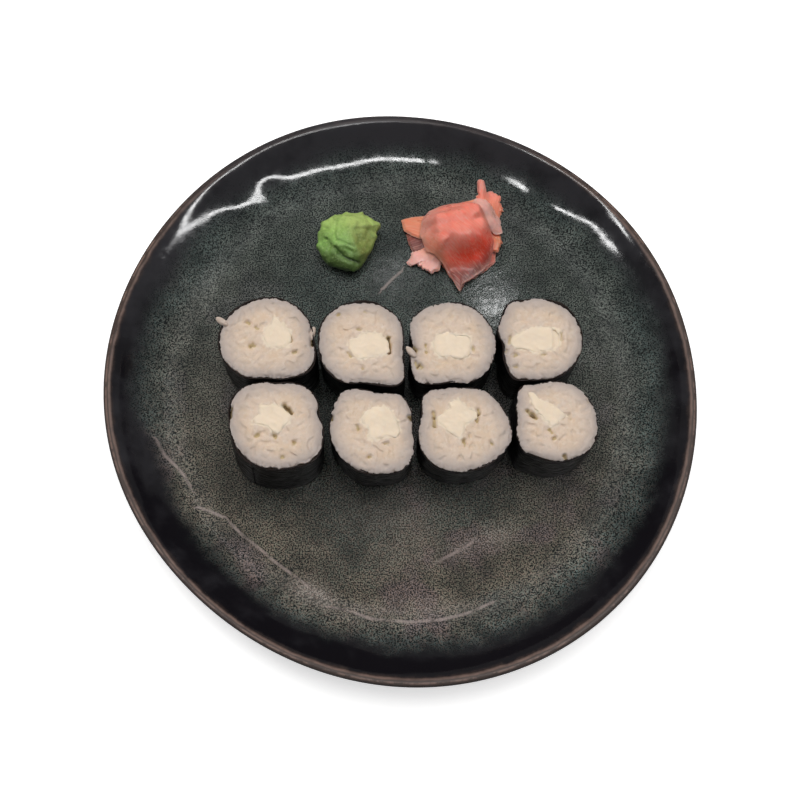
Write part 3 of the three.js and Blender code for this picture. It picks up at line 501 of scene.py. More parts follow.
def bell(value):
    return np.exp(-(value**2))


def swelling(angle, bearing, spread):
    """A swelling at a bearing: 1 there, and falling away over its spread."""
    return bell(turn_between(angle, math.radians(bearing)) / math.radians(spread))


def lobed(angle, lobes, size, bearing):
    return size * math.cos(lobes * (angle - math.radians(bearing)))


def heading(bearing):
    """The cosine and sine of a bearing in degrees."""
    return math.cos(math.radians(bearing)), math.sin(math.radians(bearing))


def along_and_across(x, y, bearing):
    """How far a point lies along a bearing, and to the left of it."""
    c, s = heading(bearing)
    return x * c + y * s, y * c - x * s


def outline_radius(roll, angle):
    """The radius of a roll's outline at an angle, with its bulges and dents."""
    reach = roll["radius"] + 0 * angle
    for bearing, size, spread in roll["bulges"]:
        reach = reach + size * swelling(angle, bearing, spread)
    return reach


def outline_reach(middle, outline, angle):
    """How far an outline of corners lies from its middle at each angle."""
    angle = np.asarray(angle, float)
    c, s = np.cos(angle), np.sin(angle)
    reach = np.zeros_like(angle)
    for (x, y), (x2, y2) in zip(outline, outline[1:] + outline[:1]):
        ax, ay, bx, by = x - middle[0], y - middle[1], x2 - middle[0], y2 - middle[1]
        turn = c * (by - ay) - s * (bx - ax)
        turn = np.where(np.abs(turn) < 1e-9, 1e-9, turn)
        along = (ax * (by - ay) - ay * (bx - ax)) / turn
        part = (ax * s - ay * c) / turn
        reach = np.where((along > 0) & (part >= -1e-6) & (part <= 1 + 1e-6), np.maximum(reach, along), reach)
    return reach


def outside_outline(middle, outline, x, y):
    """How far a point lies outside an outline of corners; negative inside."""
    dx, dy = x - middle[0], y - middle[1]
    return np.hypot(dx, dy) - outline_reach(middle, outline, np.arctan2(dy, dx))


def roll_top(roll):
    return FLOOR_HEIGHT + ROLL_HEIGHT + roll["rise"]


def nori_top(roll):
    return roll_top(roll) - NORI_DROP


def lean_at(roll, height):
    """Where the middle of a roll is at a height."""
    below = (roll_top(roll) - height) / ROLL_HEIGHT
    return roll["x"] - roll["lean"][0] * below, roll["y"] - roll["lean"][1] * below


def plate_top(part):
    """The height of the plate's upper side at a share of its radius."""
    up = np.maximum(part - FLOOR_SHARE, 0) / (1 - FLOOR_SHARE)
    flat, fast = ROLL_OVER
    over = fast * (np.maximum(part - flat, 0) * PLATE_RADIUS) ** 2
    return FLOOR_HEIGHT + (RIM_HEIGHT - FLOOR_HEIGHT) * up**WALL_CURVE - over


def rumple(x, y, z, pitch, seed=0.0):
    """Smooth noise between -1 and 1 at a point, with bumps about pitch across."""
    return noise.noise(Vector((x / pitch + seed, y / pitch - seed, z / pitch + 2 * seed)))


def rumples(x, y, z, pitch, seed):
    """The same at each of many points."""
    return np.array([rumple(*spot, pitch, seed) for spot in zip(x, y, z)])


def line_gap(line, x, y):
    """How far a point lies from a line of points, in plan: above 0 on its left, below 0 on its right."""
    best, side = math.inf, 1
    for (x1, y1), (x2, y2) in zip(line, line[1:]):
        ax, ay = x2 - x1, y2 - y1
        along = min(max(((x - x1) * ax + (y - y1) * ay) / (ax * ax + ay * ay), 0), 1)
        gap = math.hypot(x - x1 - along * ax, y - y1 - along * ay)
        if gap < best:
            best, side = gap, 1 if ax * (y - y1) > ay * (x - x1) else -1
    return side * best


# ---- Meshes ----


def turned(profile, steps, place, marks=()):
    """A turned form: the profile (across, height) goes round +Z, then place() sets points and marks."""
    bm = bmesh.new()
    layers = [bm.verts.layers.float.new(mark) for mark in marks]
    line = [bm.verts.new((across, 0, height)) for across, height in profile]
    edges = [bm.edges.new(pair) for pair in zip(line, line[1:])]
    if profile[0] == profile[-1]:
        bmesh.ops.remove_doubles(bm, verts=bm.verts[:], dist=1e-6)
        edges = bm.edges[:]
    bmesh.ops.spin(
        bm, geom=bm.verts[:] + edges, cent=(0, 0, 0), axis=(0, 0, 1), angle=TURN, steps=steps,
        use_merge=True, use_normal_flip=False, use_duplicate=False,
    )
    bmesh.ops.remove_doubles(bm, verts=bm.verts[:], dist=1e-5)
    for vert in bm.verts:
        across, angle = math.hypot(vert.co.x, vert.co.y), math.atan2(vert.co.y, vert.co.x)
        *point, values = place(across, vert.co.z, angle)
        vert.co = point
        for layer, value in zip(layers, values):
            vert[layer] = value
    bmesh.ops.recalc_face_normals(bm, faces=bm.faces[:])
    return bm


def smoothed(bm, verts, factor):
    bmesh.ops.smooth_vert(bm, verts=verts, factor=factor, use_axis_x=True, use_axis_y=True, use_axis_z=True)


def finish_piece(bm, name, material, nodes):
    """Makes the piece from a bmesh in millimetres, and lets it stand for its CAD nodes."""
    bmesh.ops.scale(bm, vec=(MM, MM, MM), verts=bm.verts[:])
    mesh = bpy.data.meshes.new(name)
    bm.to_mesh(mesh)
    bm.free()
    mesh.shade_smooth()
    return place_piece(mesh, name, material, nodes)


def place_piece(mesh, name, material, nodes):
    piece = bpy.data.objects.new(name, mesh)
    bpy.context.scene.collection.objects.link(piece)
    mesh.materials.append(material)
    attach(piece, "root")
    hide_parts(*nodes)
    return piece


# ---- Materials ----


class Finish:
    """A node material that is built up step by step."""

    def __init__(self, name):
        self.material = bpy.data.materials.new(name)
        self.material.use_nodes = True
        self.tree = self.material.node_tree
        self.shader = self.tree.nodes["Principled BSDF"]
        self.place = self.add("ShaderNodeTexCoord").outputs["Object"]

    def add(self, kind, **settings):
        node = self.tree.nodes.new(kind)
        for key, value in settings.items():
            setattr(node, key, value)
        return node

    def put(self, value, socket):
        if isinstance(value, bpy.types.NodeSocket):
            self.tree.links.new(value, socket)
        else:
            socket.default_value = value

    def set(self, **values):
        """Sets sockets of the shader; a word's underscores stand for spaces."""
        for key, value in values.items():
            self.put(value, self.shader.inputs[key.replace("_", " ")])

    def noise(self, pitch, detail=2.0, rough=0.5, place=None):
        """Noise with features about pitch millimetres across."""
        node = self.add("ShaderNodeTexNoise")
        self.put(place or self.place, node.inputs["Vector"])
        node.inputs["Scale"].default_value = 1 / (pitch * MM)
        node.inputs["Detail"].default_value = detail
        node.inputs["Roughness"].default_value = rough
        return node.outputs[0]

    def stretched(self, by, bearing=0.0):
        """Coordinates for a pattern drawn out so many times along its axes and turned to a bearing."""
        node = self.add("ShaderNodeMapping", vector_type="TEXTURE")
        self.put(self.place, node.inputs["Vector"])
        node.inputs["Scale"].default_value = by
        node.inputs["Rotation"].default_value = (0, 0, math.radians(bearing))
        return node.outputs[0]

    def along(self, bearing, middle=(0, 0)):
        """How far a point lies from a middle along a bearing, in millimetres."""
        c, s = heading(bearing)
        node = self.add("ShaderNodeVectorMath", operation="DOT_PRODUCT")
        self.put(self.place, node.inputs[0])
        node.inputs[1].default_value = (c / MM, s / MM, 0)
        return self.combine("SUBTRACT", node.outputs["Value"], c * middle[0] + s * middle[1])

    def between(self, value, low, high, start=0.0, end=1.0):
        """Brings a value from low..high to start..end, softly."""
        node = self.add("ShaderNodeMapRange", interpolation_type="SMOOTHSTEP")
        for item, index in ((value, 0), (low, 1), (high, 2), (start, 3), (end, 4)):
            self.put(item, node.inputs[index])
        return node.outputs[0]

    def combine(self, operation, *values):
        node = self.add("ShaderNodeMath", operation=operation)
        for value, socket in zip(values, node.inputs):
            self.put(value, socket)
        return node.outputs[0]

    def sum(self, first, *others):
        for other in others:
            first = self.combine("ADD", first, other)
        return first

    def times(self, first, *others):
        for other in others:
            first = self.combine("MULTIPLY", first, other)
        return first

    def wander(self, size, pitch, detail=3, rough=0.6):
        """Noise about 0, up to about half a size either way."""
        return self.times(self.combine("SUBTRACT", self.noise(pitch, detail, rough), 0.5), size)

    def stripe(self, value, zone):
        """1 between the second and the third value of a zone, and 0 outside it."""
        return self.combine("SUBTRACT", self.between(value, *zone[:2]), self.between(value, *zone[2:]))

    def mix(self, part, a, b):
        node = self.add("ShaderNodeMix", data_type="RGBA")
        for item, index in ((part, 0), (a, 6), (b, 7)):
            self.put(item, node.inputs[index])
        return node.outputs[2]

    def patches(self, body, tone, pitch, over, most=1.0, detail=3, rough=0.6):
        """Lays a tone over a body in random patches, where noise rises over two values."""
        return self.mix(self.between(self.noise(pitch, detail, rough), *over, 0, most), body, tone)

    def varied(self, pitch, low, high, detail=2, rough=0.5):
        """A value that changes between low and high."""
        return self.between(self.noise(pitch, detail, rough), 0.3, 0.7, low, high)

    def mark(self, name):
        return self.add("ShaderNodeAttribute", attribute_name=name).outputs["Fac"]

    def bump(self, height, depth, under=None):
        """Relief of so many millimetres."""
        node = self.add("ShaderNodeBump")
        node.inputs["Strength"].default_value = 1
        node.inputs["Distance"].default_value = depth * MM
        self.put(height, node.inputs["Height"])
        if under:
            self.put(under, node.inputs["Normal"])
        return node.outputs[0]


def shaded(tone, by):
    """A tone made darker or lighter."""
    return (*(part * by for part in tone[:3]), 1)


def glaze_grain(f, s, part, pale):
    """The grain: grey-green in the middle, khaki round it, teal outside and on the far side, with pale patches
    of thin glaze and of painted reflection, purple-brown patches and rusty specks, all on a near-black ground,
    and with painted shade that darkens it towards the back."""
    pitch, drift = s.speckle / MM, f.wander(0.7, 28)
    drifting = f.sum(part, drift)
    tone = f.mix(f.between(drifting, *KHAKI_SHARES), s.middle, s.olive)
    tone = f.mix(f.between(f.sum(part, f.times(drift, 0.4)), *TEAL_SHARES), tone, s.teal)
    tone = f.patches(tone, s.patch, 22, over=(0.53, 0.66), most=0.8)
    # Pale patches of thin glaze, and painted reflections of the long lights.
    tone = f.mix(pale, tone, PALE_GLAZE)
    tone = f.patches(tone, RUST_SPECKS, pitch * 1.4, over=(0.47, 0.57), most=0.5, detail=1, rough=0.5)
    tone = f.mix(f.between(f.along(80), -70, 60, 0, 0.7), tone, s.teal)
    # Random clouds in the grain, and painted shade that darkens it towards the back of the plate.
    cloud = f.times(
        f.between(f.noise(8, 4, 0.7), 0.32, 0.68, 0.55, 1), f.between(f.noise(19), 0.36, 0.64, 0.80, 1.26),
        f.between(drifting, 0.35, 0.75, 0.93, 0.97), f.between(f.along(280), -85, 80, 0.68, 1.02),
    )
    grain = f.times(f.between(f.noise(pitch, 1, 0.6), 0.405, 0.605), cloud)
    return f.mix(f.sum(grain, f.times(pale, 0.25)), s.ground, tone)


def glaze_band(f, s, part, body):
    """The near-black band inside the rim, with a ragged edge; narrower on the right and at the far left."""
    ragged = f.sum(f.times(f.noise(22, 3, 0.6), 0.08), f.times(f.noise(3.5, 3, 0.7), 0.05), -0.065)
    edge = f.sum(part, f.times(f.along(30), -0.00021), ragged, f.between(f.along(162), 72, 92, 0, -0.035))
    dusted = f.sum(edge, f.times(f.noise(s.speckle / MM, 1), 0.13))
    tone = f.between(f.sum(f.noise(16, 3, 0.6), f.times(f.along(105), 0.0022)), 0.35, 0.75)
    return f.mix(f.between(dusted, *BAND_SHARES), body, f.mix(tone, BAND_SHADOW, s.band))


def glaze_lip(f, s, part, body):
    """Thin brown glaze on the lip: a bronze line, a broken one outside it, and a dark edge."""
    line = f.stripe(f.sum(part, f.wander(0.012, 9)), BRONZE_LINE)
    broken = f.times(f.stripe(part, EDGE_LINE), f.between(f.noise(7, 4, 0.7), 0.44, 0.58))
    bronze = f.mix(f.sum(line, broken), LIP_BROWN, s.lip)
    starts = f.between(f.sum(part, f.wander(0.03, 6, 3, 0.7)), *LIP_SHARES)
    body = f.mix(f.times(starts, f.between(f.along(95), 60, 100, 1, 0.15)), body, bronze)
    return f.mix(f.between(part, *EDGE_SHARES, 0, 0.85), body, LIP_SHADOW)


def glaze_finish(s):
    """Reactive glaze: its grain, the potter's fine ridges with a painted highlight along them, the band and the
    lip, duller where it is worn.
    """
    f = Finish("speckled_glaze")
    # pale marks the patches of thin glaze and of painted reflection.
    part, pale = f.mark("rim_share"), f.mark("pale_share")
    body = glaze_grain(f, s, part, pale)
    # A painted highlight of the long lights along the potter's ridges, over a faint bump.
    ridge = f.between(f.combine("ABSOLUTE", f.mark("ridge_gap")), *RIDGE_GAPS, 1, 0)
    ridge = f.times(ridge, f.mark("ridge_share"), f.between(f.noise(5, 3, 0.6), 0.34, 0.60, 0.1, 0.6))
    body = f.mix(ridge, body, RIDGE_GLAZE)
    body = glaze_lip(f, s, part, glaze_band(f, s, part, body))
    lip_worn = f.times(
        f.between(part, *WORN_SHARES), f.between(f.along(142), 80, 98, 0.42, 0.12),
        f.between(f.along(55), 84, 98, 1, 0.3),
    )
    foot_worn = f.times(f.between(part, *WALL_FOOT[:2]), f.between(part, *WALL_FOOT[2:], 0.16, 0))
    f.set(Base_Color=body, Roughness=f.sum(f.varied(3, 0.06, 0.13, 3, 0.6), lip_worn, foot_worn), IOR=1.5)
    f.set(Normal=f.bump(f.noise(0.6), 0.007, f.bump(f.noise(3.2), 0.02, f.bump(ridge, 0.012))))
    return f.material


def rice_finish(s):
    """Moist cooked rice, a little see-through: painted shade makes it cooler and darker at the rim and darker
    in its gaps; smeared with cheese.
    """
    f = Finish("cooked_rice")
    body = f.patches(s.tint, WARM_RICE, 6, over=(0.35, 0.65))
    body = f.patches(body, BRIGHT_RICE, 1.6, over=(0.46, 0.66), most=0.4)
    body = f.patches(body, BROWN_RICE, 1.2, over=(0.52, 0.70), most=0.3)
    rim = f.sum(f.mark("rim_share"), f.times(f.noise(3), 0.2))
    for amount, tone in (
        # Painted shade, darker and cooler towards the rim
        (f.between(rim, 0.62, 1.12, 0, 0.9), RIM_RICE),
        (f.between(f.mark("smear_share"), 0.25, 0.9, 0, 0.8), SMEARED_RICE),
        # Painted shade in the gaps: khaki where shallow, dark brown where deep
        (f.between(f.mark("gap_share"), 0.30, 0.62, 0, 0.85), s.gap),
        (f.between(f.mark("gap_share"), 0.62, 0.95), DEEP_GAP),
    ):
        body = f.mix(amount, body, tone)
    f.set(Base_Color=body, Roughness=f.varied(1.2, 0.36, 0.55))
    f.set(Subsurface_Weight=0.4, Subsurface_Radius=(1.0, 0.85, 0.7), Subsurface_Scale=1.3 * MM)
    f.set(Normal=f.bump(f.noise(1.3, 4, 0.65), 0.12))
    return f.material


def nori_finish(s):
    """Roasted seaweed: near black, with damp sheen in streaks, real in their roughness and painted into their
    colour as lighter streaks, and a browner edge.
    """
    f = Finish("seaweed_sheet")
    streaks = f.noise(1.0, 4, 0.6, f.stretched((5, 5, 1)))
    # Painted sheen: the streaks are lighter in colour, as well as smoother.
    body = f.mix(f.between(streaks, 0.4, 0.65), s.tint, shaded(s.tint, 1.9))
    body = f.mix(f.between(f.mark("top_share"), 0.90, 1.0), body, s.worn)
    f.set(Base_Color=body, Roughness=f.between(streaks, 0.35, 0.65, 0.28, 0.6), Specular_IOR_Level=0.2)
    relief = f.sum(f.noise(0.8, 3, 0.65), f.times(f.noise(1.3, 2, 0.5, f.stretched((4, 4, 1))), 1.5))
    f.set(Normal=f.bump(relief, 0.16))
    return f.material


def cheese_finish(s):
    """Cream cheese: smooth, a little see-through and slightly uneven in tone."""
    f = Finish("cream_cheese")
    body = f.patches(s.tint, shaded(s.tint, 0.95), 5, over=(0.35, 0.65), rough=0.5)
    f.set(Base_Color=body, Roughness=f.varied(2, 0.38, 0.52))
    f.set(Subsurface_Weight=0.3, Subsurface_Radius=(1.0, 0.8, 0.55), Subsurface_Scale=1.5 * MM)
    f.set(Normal=f.bump(f.noise(1.4, 3, 0.55), 0.07))
    return f.material


def wasabi_finish(s):
    """The paste: paler on its crown as painted light, olive on one side, dark low down as painted shade, with
    dry crumbs and wet pits.
    """
    f = Finish("wasabi_paste")
    body = f.mix(f.between(f.along(20, WASABI_MIDDLE), -1, 4), s.tint, s.dry)
    # Painted light: paler towards the crown at the back and top.
    crown = f.along(75, (WASABI_MIDDLE[0] - 2, WASABI_MIDDLE[1]))
    body = f.mix(f.between(crown, -6, 7, 0, 0.75), body, s.crown)
    body = f.patches(body, WASABI_SHADE, 4, over=(0.42, 0.66), most=0.45)
    # Painted shade on the low front side.
    body = f.mix(f.between(f.along(258, WASABI_MIDDLE), 5, 10.5, 0, 0.8), body, WASABI_LOW)
    body = f.patches(body, WASABI_CRUMBS, 0.8, over=(0.50, 0.72), most=0.45, rough=0.7)
    body = f.patches(body, WASABI_PITS, 0.9, over=(0.50, 0.34), most=0.3, rough=0.7)
    f.set(Base_Color=body, Roughness=f.varied(1.5, 0.42, 0.6))
    f.set(Subsurface_Weight=0.15, Subsurface_Radius=(0.6, 1.0, 0.3), Subsurface_Scale=0.9 * MM)
    f.set(Normal=f.bump(f.sum(f.noise(0.7, 3, 0.65), f.noise(1.8)), 0.16))
    return f.material


def ginger_finish(s, part):
    """A wet pickled slice: fibres along it, and one hue turning to another across it; the deep and mauve hues
    towards the front are painted shade, and the pale on the top's left and the paler thin edge are painted
    light.
    """
    f = Finish(part["name"] + "_flesh")
    first, second, bearing, low, high = part["hues"]
    fibres = f.noise(0.4, 3, 0.6, f.stretched((22, 1, 3), part["fibres"]))
    broad = f.noise(5)
    turned_hue = f.between(f.along(bearing, part["middle"]), low, high)
    amount = f.sum(turned_hue, f.between(broad, 0.3, 0.7, -0.1, 0.1))
    body = f.mix(amount, getattr(s, first), getattr(s, second))
    for third, bearing, low, high, most in part.get("then", ()):
        body = f.mix(f.between(f.along(bearing, part["middle"]), low, high, 0, most), body, getattr(s, third))
    for amount, tone in (
        (f.between(fibres, 0.46, 0.68, 0, 0.30), PALE_FIBRES),
        (f.between(fibres, 0.46, 0.30, 0, 0.25), s.deep),
        # Painted light along the thin edge of each slice
        (f.between(f.mark("edge_share"), 0.90, 1.0, 0, 0.3), THIN_EDGE),
    ):
        body = f.mix(amount, body, tone)
    f.set(Base_Color=body, Roughness=f.between(broad, 0.3, 0.7, 0.24, 0.4))
    f.set(Subsurface_Weight=0.35, Subsurface_Radius=(1.0, 0.35, 0.22), Subsurface_Scale=1.5 * MM)
    f.set(Normal=f.bump(fibres, 0.10))
    return f.material


# ---- Plate ----


def plate_profile():
    """The plate's cut from the middle of its well over the lip to the middle of its underside."""
    start, end = math.radians(180 - LIP_SLOPE), math.radians(LIP_END)
    last = 1 - LIP * (1 - math.cos(start)) / PLATE_RADIUS
    floor = [(FLOOR_SHARE * i / FLOOR_RINGS * PLATE_RADIUS, FLOOR_HEIGHT) for i in range(FLOOR_RINGS)]
    wall = [FLOOR_SHARE + (last - FLOOR_SHARE) * i / WALL_RINGS for i in range(WALL_RINGS + 1)]
    upper = [(part * PLATE_RADIUS, float(plate_top(part))) for part in wall]
    lip_x, lip_z = last * PLATE_RADIUS - LIP * math.cos(start), float(plate_top(last)) - LIP * math.sin(start)
    turns = [start - i * (start - end) / LIP_RINGS for i in range(1, LIP_RINGS + 1)]
    lip = [(lip_x + LIP * math.cos(turn), lip_z + LIP * math.sin(turn)) for turn in turns]
    outer = [(p * PLATE_RADIUS + WALL_FLARE, float(plate_top(p)) - PLATE_THICKNESS) for p in wall[1:-1][::-2]]
    low = FLOOR_HEIGHT - PLATE_THICKNESS
    foot_in, foot_out = FOOT_RADIUS - FOOT_WIDTH / 2, FOOT_RADIUS + FOOT_WIDTH / 2
    edge, up = FOOT_ROUNDING
    foot = [(foot_out + FOOT_TAPER, low), (foot_out + edge, up), (foot_out - up, 0), (foot_in + up, 0),
            (foot_in - edge, up), (foot_in - FOOT_TAPER, low)]
    return floor + upper + lip + outer + foot + [(0, low)]


def pale_share(x, y):
    """How much paler the glaze is at a point, in its placed patches of thin glaze and of painted reflection."""
    most = 0.0
    for px, py, long, wide, bearing, strength in PALE_PATCHES:
        along, across = along_and_across(x - px, y - py, bearing)
        most = max(most, strength * math.exp(-((along / long) ** 2) - (across / wide) ** 2))
    return most


def plate_point(across, height, angle, unevenness):
    """Warps a turned point of the plate to its hand-formed shape, and gives its marks for the glaze."""
    part = across / PLATE_RADIUS
    out = across + sum(lobed(angle, *wave) for wave in RIM_WAVES) * part**3
    x, y = out * math.cos(angle), out * math.sin(angle)
    above_foot = float(smooth_step(0, FOOT_FADE, height))
    wave = rumple(x, y, 0, BROAD_WAVE, 3.1) + 0.5 * rumple(x, y, 0, FINE_WAVE, 7.7)
    rise = unevenness * (FLOOR_UNEVENNESS + within(WAVE_ZONE, part)) * wave * above_foot
    sooner = sum(shift * swelling(angle, bearing, spread) for bearing, shift, spread in WALL_STARTS)
    sooner *= within(START_ZONE, part)
    rise += float(plate_top(part + sooner) - plate_top(part)) * above_foot
    for mark_x, mark_y, reach, raised in HAND_MARKS:
        rise += raised * math.exp(-((x - mark_x) ** 2 + (y - mark_y) ** 2) / reach**2) * above_foot
    lift = lobed(angle, *RIM_LIFT) * float(smooth_step(FLOOR_SHARE, 1, part))
    ridge = min((line_gap(line, x, y) for line in POTTERS_RIDGE), key=abs)
    ridge_share = 1 - float(smooth_step(*RIDGE_FADE, abs(ridge)))
    return x, y, height + lift + rise, (part, ridge, ridge_share, pale_share(x, y))


def make_plate(s):
    bm = turned(plate_profile(), PLATE_STEPS, lambda a, h, t: plate_point(a, h, t, s.unevenness / MM),
                ("rim_share", "ridge_gap", "ridge_share", "pale_share"))
    return finish_piece(bm, "plate_glazed", glaze_finish(s), ["plate"])


# ---- Rice ----


def cheese_middle(roll):
    return tuple(np.mean(roll["cheese"], axis=0))


def cut_level(roll, x, y):
    """The height of the knife's cut about the roll's middle: crowned, and rounded off at its rim."""
    part = np.hypot(x, y) / outline_radius(roll, np.arctan2(y, x))
    swell = CUT_SWELL * np.sin(0.31 * x + roll["seam"]) * np.cos(0.27 * y - roll["x"])
    rounding = CUT_ROUNDING * smooth_step(0.80, 1.10, part)
    return roll_top(roll) - CUT_INSET + CUT_CROWN * (1 - part * part) - rounding + swell


def core_height(roll, x, y):
    """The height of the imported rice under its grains."""
    relief = 0.35 * rumple(x, y, 0, 4.5, roll["x"]) + 0.2 * rumple(x, y, 0, 1.9, roll["y"])
    return float(cut_level(roll, x, y)) - CORE_DEPTH + relief


def rice_body(roll):
    """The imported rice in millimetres, with a hole where the cheese runs through it. Its profile runs from the
    hole (1) to the seaweed (2), and from its foot (0) over its shoulder (9) to its face (10)."""
    cheese, middle = roll["cheese"], cheese_middle(roll)
    foot, shoulder, face = 0.0, 9.0, 10.0
    rings = [(1 + i / CORE_RINGS, face) for i in range(CORE_RINGS + 1)]
    side = [(2, level) for level in (shoulder, 8.0, 5.0, foot)]
    profile = rings + side + [(1, foot), (1, shoulder), (1, face)]
    rise = roll_top(roll) - CAP_DEPTH - SHOULDER_DROP - ROLL_FOOT

    def place(across, level, angle):
        part = across - 1
        inner = float(outline_reach(middle, cheese, angle)) - CORE_OVERLAP
        inset = NORI_INSET + CORE_INSET if level < face else FACE_INSET
        outside = float(outline_radius(roll, angle)) - inset
        ax, ay = middle[0] + inner * math.cos(angle), middle[1] + inner * math.sin(angle)
        bx, by = outside * math.cos(angle), outside * math.sin(angle)
        x, y = ax + (bx - ax) * part, ay + (by - ay) * part
        on_face = level > (shoulder + face) / 2
        height = core_height(roll, x, y) if on_face else ROLL_FOOT + rise * level / shoulder
        cx, cy = lean_at(roll, height)
        return cx + x, cy + y, height, ()

    return turned(profile, CORE_STEPS, place)


def grain_shape(around, along):
    """One cooked grain of unit length and width along +X, as points and faces."""
    bm = bmesh.new()
    bmesh.ops.create_uvsphere(bm, u_segments=around, v_segments=along, radius=0.5)
    bmesh.ops.rotate(bm, verts=bm.verts[:], matrix=Matrix.Rotation(math.pi / 2, 3, "Y"))
    for vert in bm.verts:
        x = vert.co.x * 2
        vert.co.y *= 1 - GRAIN_TAPER * x * x
        vert.co.z -= GRAIN_BEND * x * x
    points = np.array([vert.co[:] for vert in bm.verts])
    faces = [[vert.index for vert in face.verts] for face in bm.faces]
    bm.free()
    return points, faces


def joined_grains(name, places, around=8, along=6, unit=1):
    """Grains at their places, as one mesh."""
    points, faces = grain_shape(around, along)
    solid = np.hstack([points, np.ones((len(points), 1))])
    spots = np.vstack([(solid @ np.array(place).T)[:, :3] for place in places])
    corners = [[i + n * len(points) for i in face] for n in range(len(places)) for face in faces]
    mesh = bpy.data.meshes.new(name)
    mesh.from_pydata((spots * unit).tolist(), [], corners)
    return mesh


def scattered_spots(roll, gap, rng):
    """Spots on the cut face, no two nearer than gap, clear of the cheese."""
    middle, spots = cheese_middle(roll), []
    for _ in range(GRAIN_TRIES):
        angle = rng.uniform(0, TURN)
        reach = float(outline_radius(roll, angle)) - GRAIN_MARGIN
        across = reach * math.sqrt(rng.random())
        x, y = across * math.cos(angle), across * math.sin(angle)
        if outside_outline(middle, roll["cheese"], x, y) < GRAIN_MARGIN:
            continue
        if all((x - u) ** 2 + (y - v) ** 2 > gap * gap for u, v, _ in spots):
            spots.append((x, y, across / reach))
    return spots


def grain_place(roll, s, x, y, height, bearing, tilt, spin, size=1.0):
    """Where a grain lies about its roll's middle, as a 4 x 4 matrix in millimetres."""
    long, wide = s.grain_length / MM * size, s.grain_width / MM * size
    cx, cy = lean_at(roll, height)
    turn = Matrix.Rotation(bearing, 4, "Z") @ Matrix.Rotation(tilt, 4, "Y") @ Matrix.Rotation(spin, 4, "X")
    shape = Matrix.Diagonal((long, wide, wide * GRAIN_FLATNESS, 1))
    return Matrix.Translation((cx + x, cy + y, height)) @ turn @ shape


def packed_places(roll, s, rng):
    """Where the grains of a cut face and its rim lie."""
    places = []
    for x, y, part in scattered_spots(roll, s.spacing / MM, rng):
        tangent = math.atan2(y, x) + math.pi / 2
        bearing = tangent + rng.uniform(-0.6, 0.6) if part > RIM_GRAINS else rng.uniform(0, TURN)
        height = core_height(roll, x, y) + rng.uniform(-0.35, 0.45)
        places.append(grain_place(roll, s, x, y, height, bearing, rng.uniform(-0.35, 0.35),
                                  rng.uniform(0, TURN), rng.uniform(0.8, 1.1)))
    count = int(TURN * roll["radius"] / (s.grain_length / MM * RIM_CROWDING))
    for row, (inset, drop) in enumerate(RIM_ROWS):
        for i in range(count):
            angle = TURN * (i + 0.5 * row + rng.uniform(-0.3, 0.3)) / count
            across = float(outline_radius(roll, angle)) - inset - rng.uniform(0, 0.35)
            height = roll_top(roll) - drop + rng.uniform(-0.25, 0.25)
            bearing = angle + math.pi / 2 + rng.uniform(-0.5, 0.5)
            places.append(grain_place(
                roll, s, across * math.cos(angle), across * math.sin(angle), height, bearing,
                rng.uniform(-0.3, 0.3), rng.uniform(0, TURN), rng.uniform(0.8, 1.0)))
    return places


def worked(mesh, *steps):
    """A copy of a mesh with modifiers worked in, each given by its kind and settings."""
    holder = bpy.data.objects.new("holder", mesh)
    bpy.context.scene.collection.objects.link(holder)
    for kind, settings in steps:
        modifier = holder.modifiers.new(kind, kind)
        for key, value in settings.items():
            setattr(modifier, key, value)
    done = bpy.data.meshes.new_from_object(holder.evaluated_get(bpy.context.evaluated_depsgraph_get()))
    bpy.data.objects.remove(holder)
    return done


def cut_depth(roll, x, y, proud, near, outside, ragged):
    """How far rice lies over the cut once the knife has passed and the gaps are open."""
    crowns = -CUT_DEPTH + (proud + CUT_DEPTH) * CROWNS
    grooves = -CUT_DEPTH + (proud + CUT_DEPTH) * GROOVES
    proud = np.where(proud > -CUT_DEPTH, crowns, np.where(proud > -CUT_REACH, grooves, proud))
    raised = proud * (1 - CHEESE_LIFT * np.exp(-np.maximum(outside, 0) / CHEESE_LIFT_REACH))
    proud = np.where(proud > -CUT_REACH, raised, proud)
    for x1, y1, x2, y2, half, depth in roll["gaps"]:
        ax, ay = x2 - x1, y2 - y1
        along = np.clip(((x - x1) * ax + (y - y1) * ay) / (ax * ax + ay * ay), 0, 1)
        away = np.hypot(x - x1 - along * ax, y - y1 - along * ay) + 0.5 * ragged - GAP_FLAT
        proud = proud - near * depth * bell(np.maximum(away, 0) / half)
    creases = rumples(x, y, 0 * x, CREASE_PITCH, roll["y"])
    return proud - CREASE_DEPTH * near * bell(creases / CREASE_WIDTH)


def held_in(roll, spots, near):
    """Keeps rice inside its seaweed, with notches between its grains, and gives its share of the radius."""
    mx, my = lean_at(roll, spots[:, 2])
    dx, dy = spots[:, 0] - mx, spots[:, 1] - my
    across, outline = np.hypot(dx, dy), outline_radius(roll, np.arctan2(dy, dx))
    over_edge = smooth_step(nori_top(roll) - 0.25, nori_top(roll) + 0.3, spots[:, 2])
    most = outline - RIM_INSET + RIM_BULGE * over_edge
    seams = rumples(dx, dy, spots[:, 2] * 0.5, NOTCH_PITCH, roll["y"])
    notch = bell(seams / NOTCH_WIDTH) * smooth_step(0.84, 0.95, across / outline)
    inward = np.minimum(1, most / np.maximum(across, 1e-6)) - NOTCH_DEPTH * notch / np.maximum(across, 5)
    spots[:, 2] -= NOTCH_DROP * notch * near
    spots[:, 0], spots[:, 1] = mx + dx * inward, my + dy * inward
    return across / outline


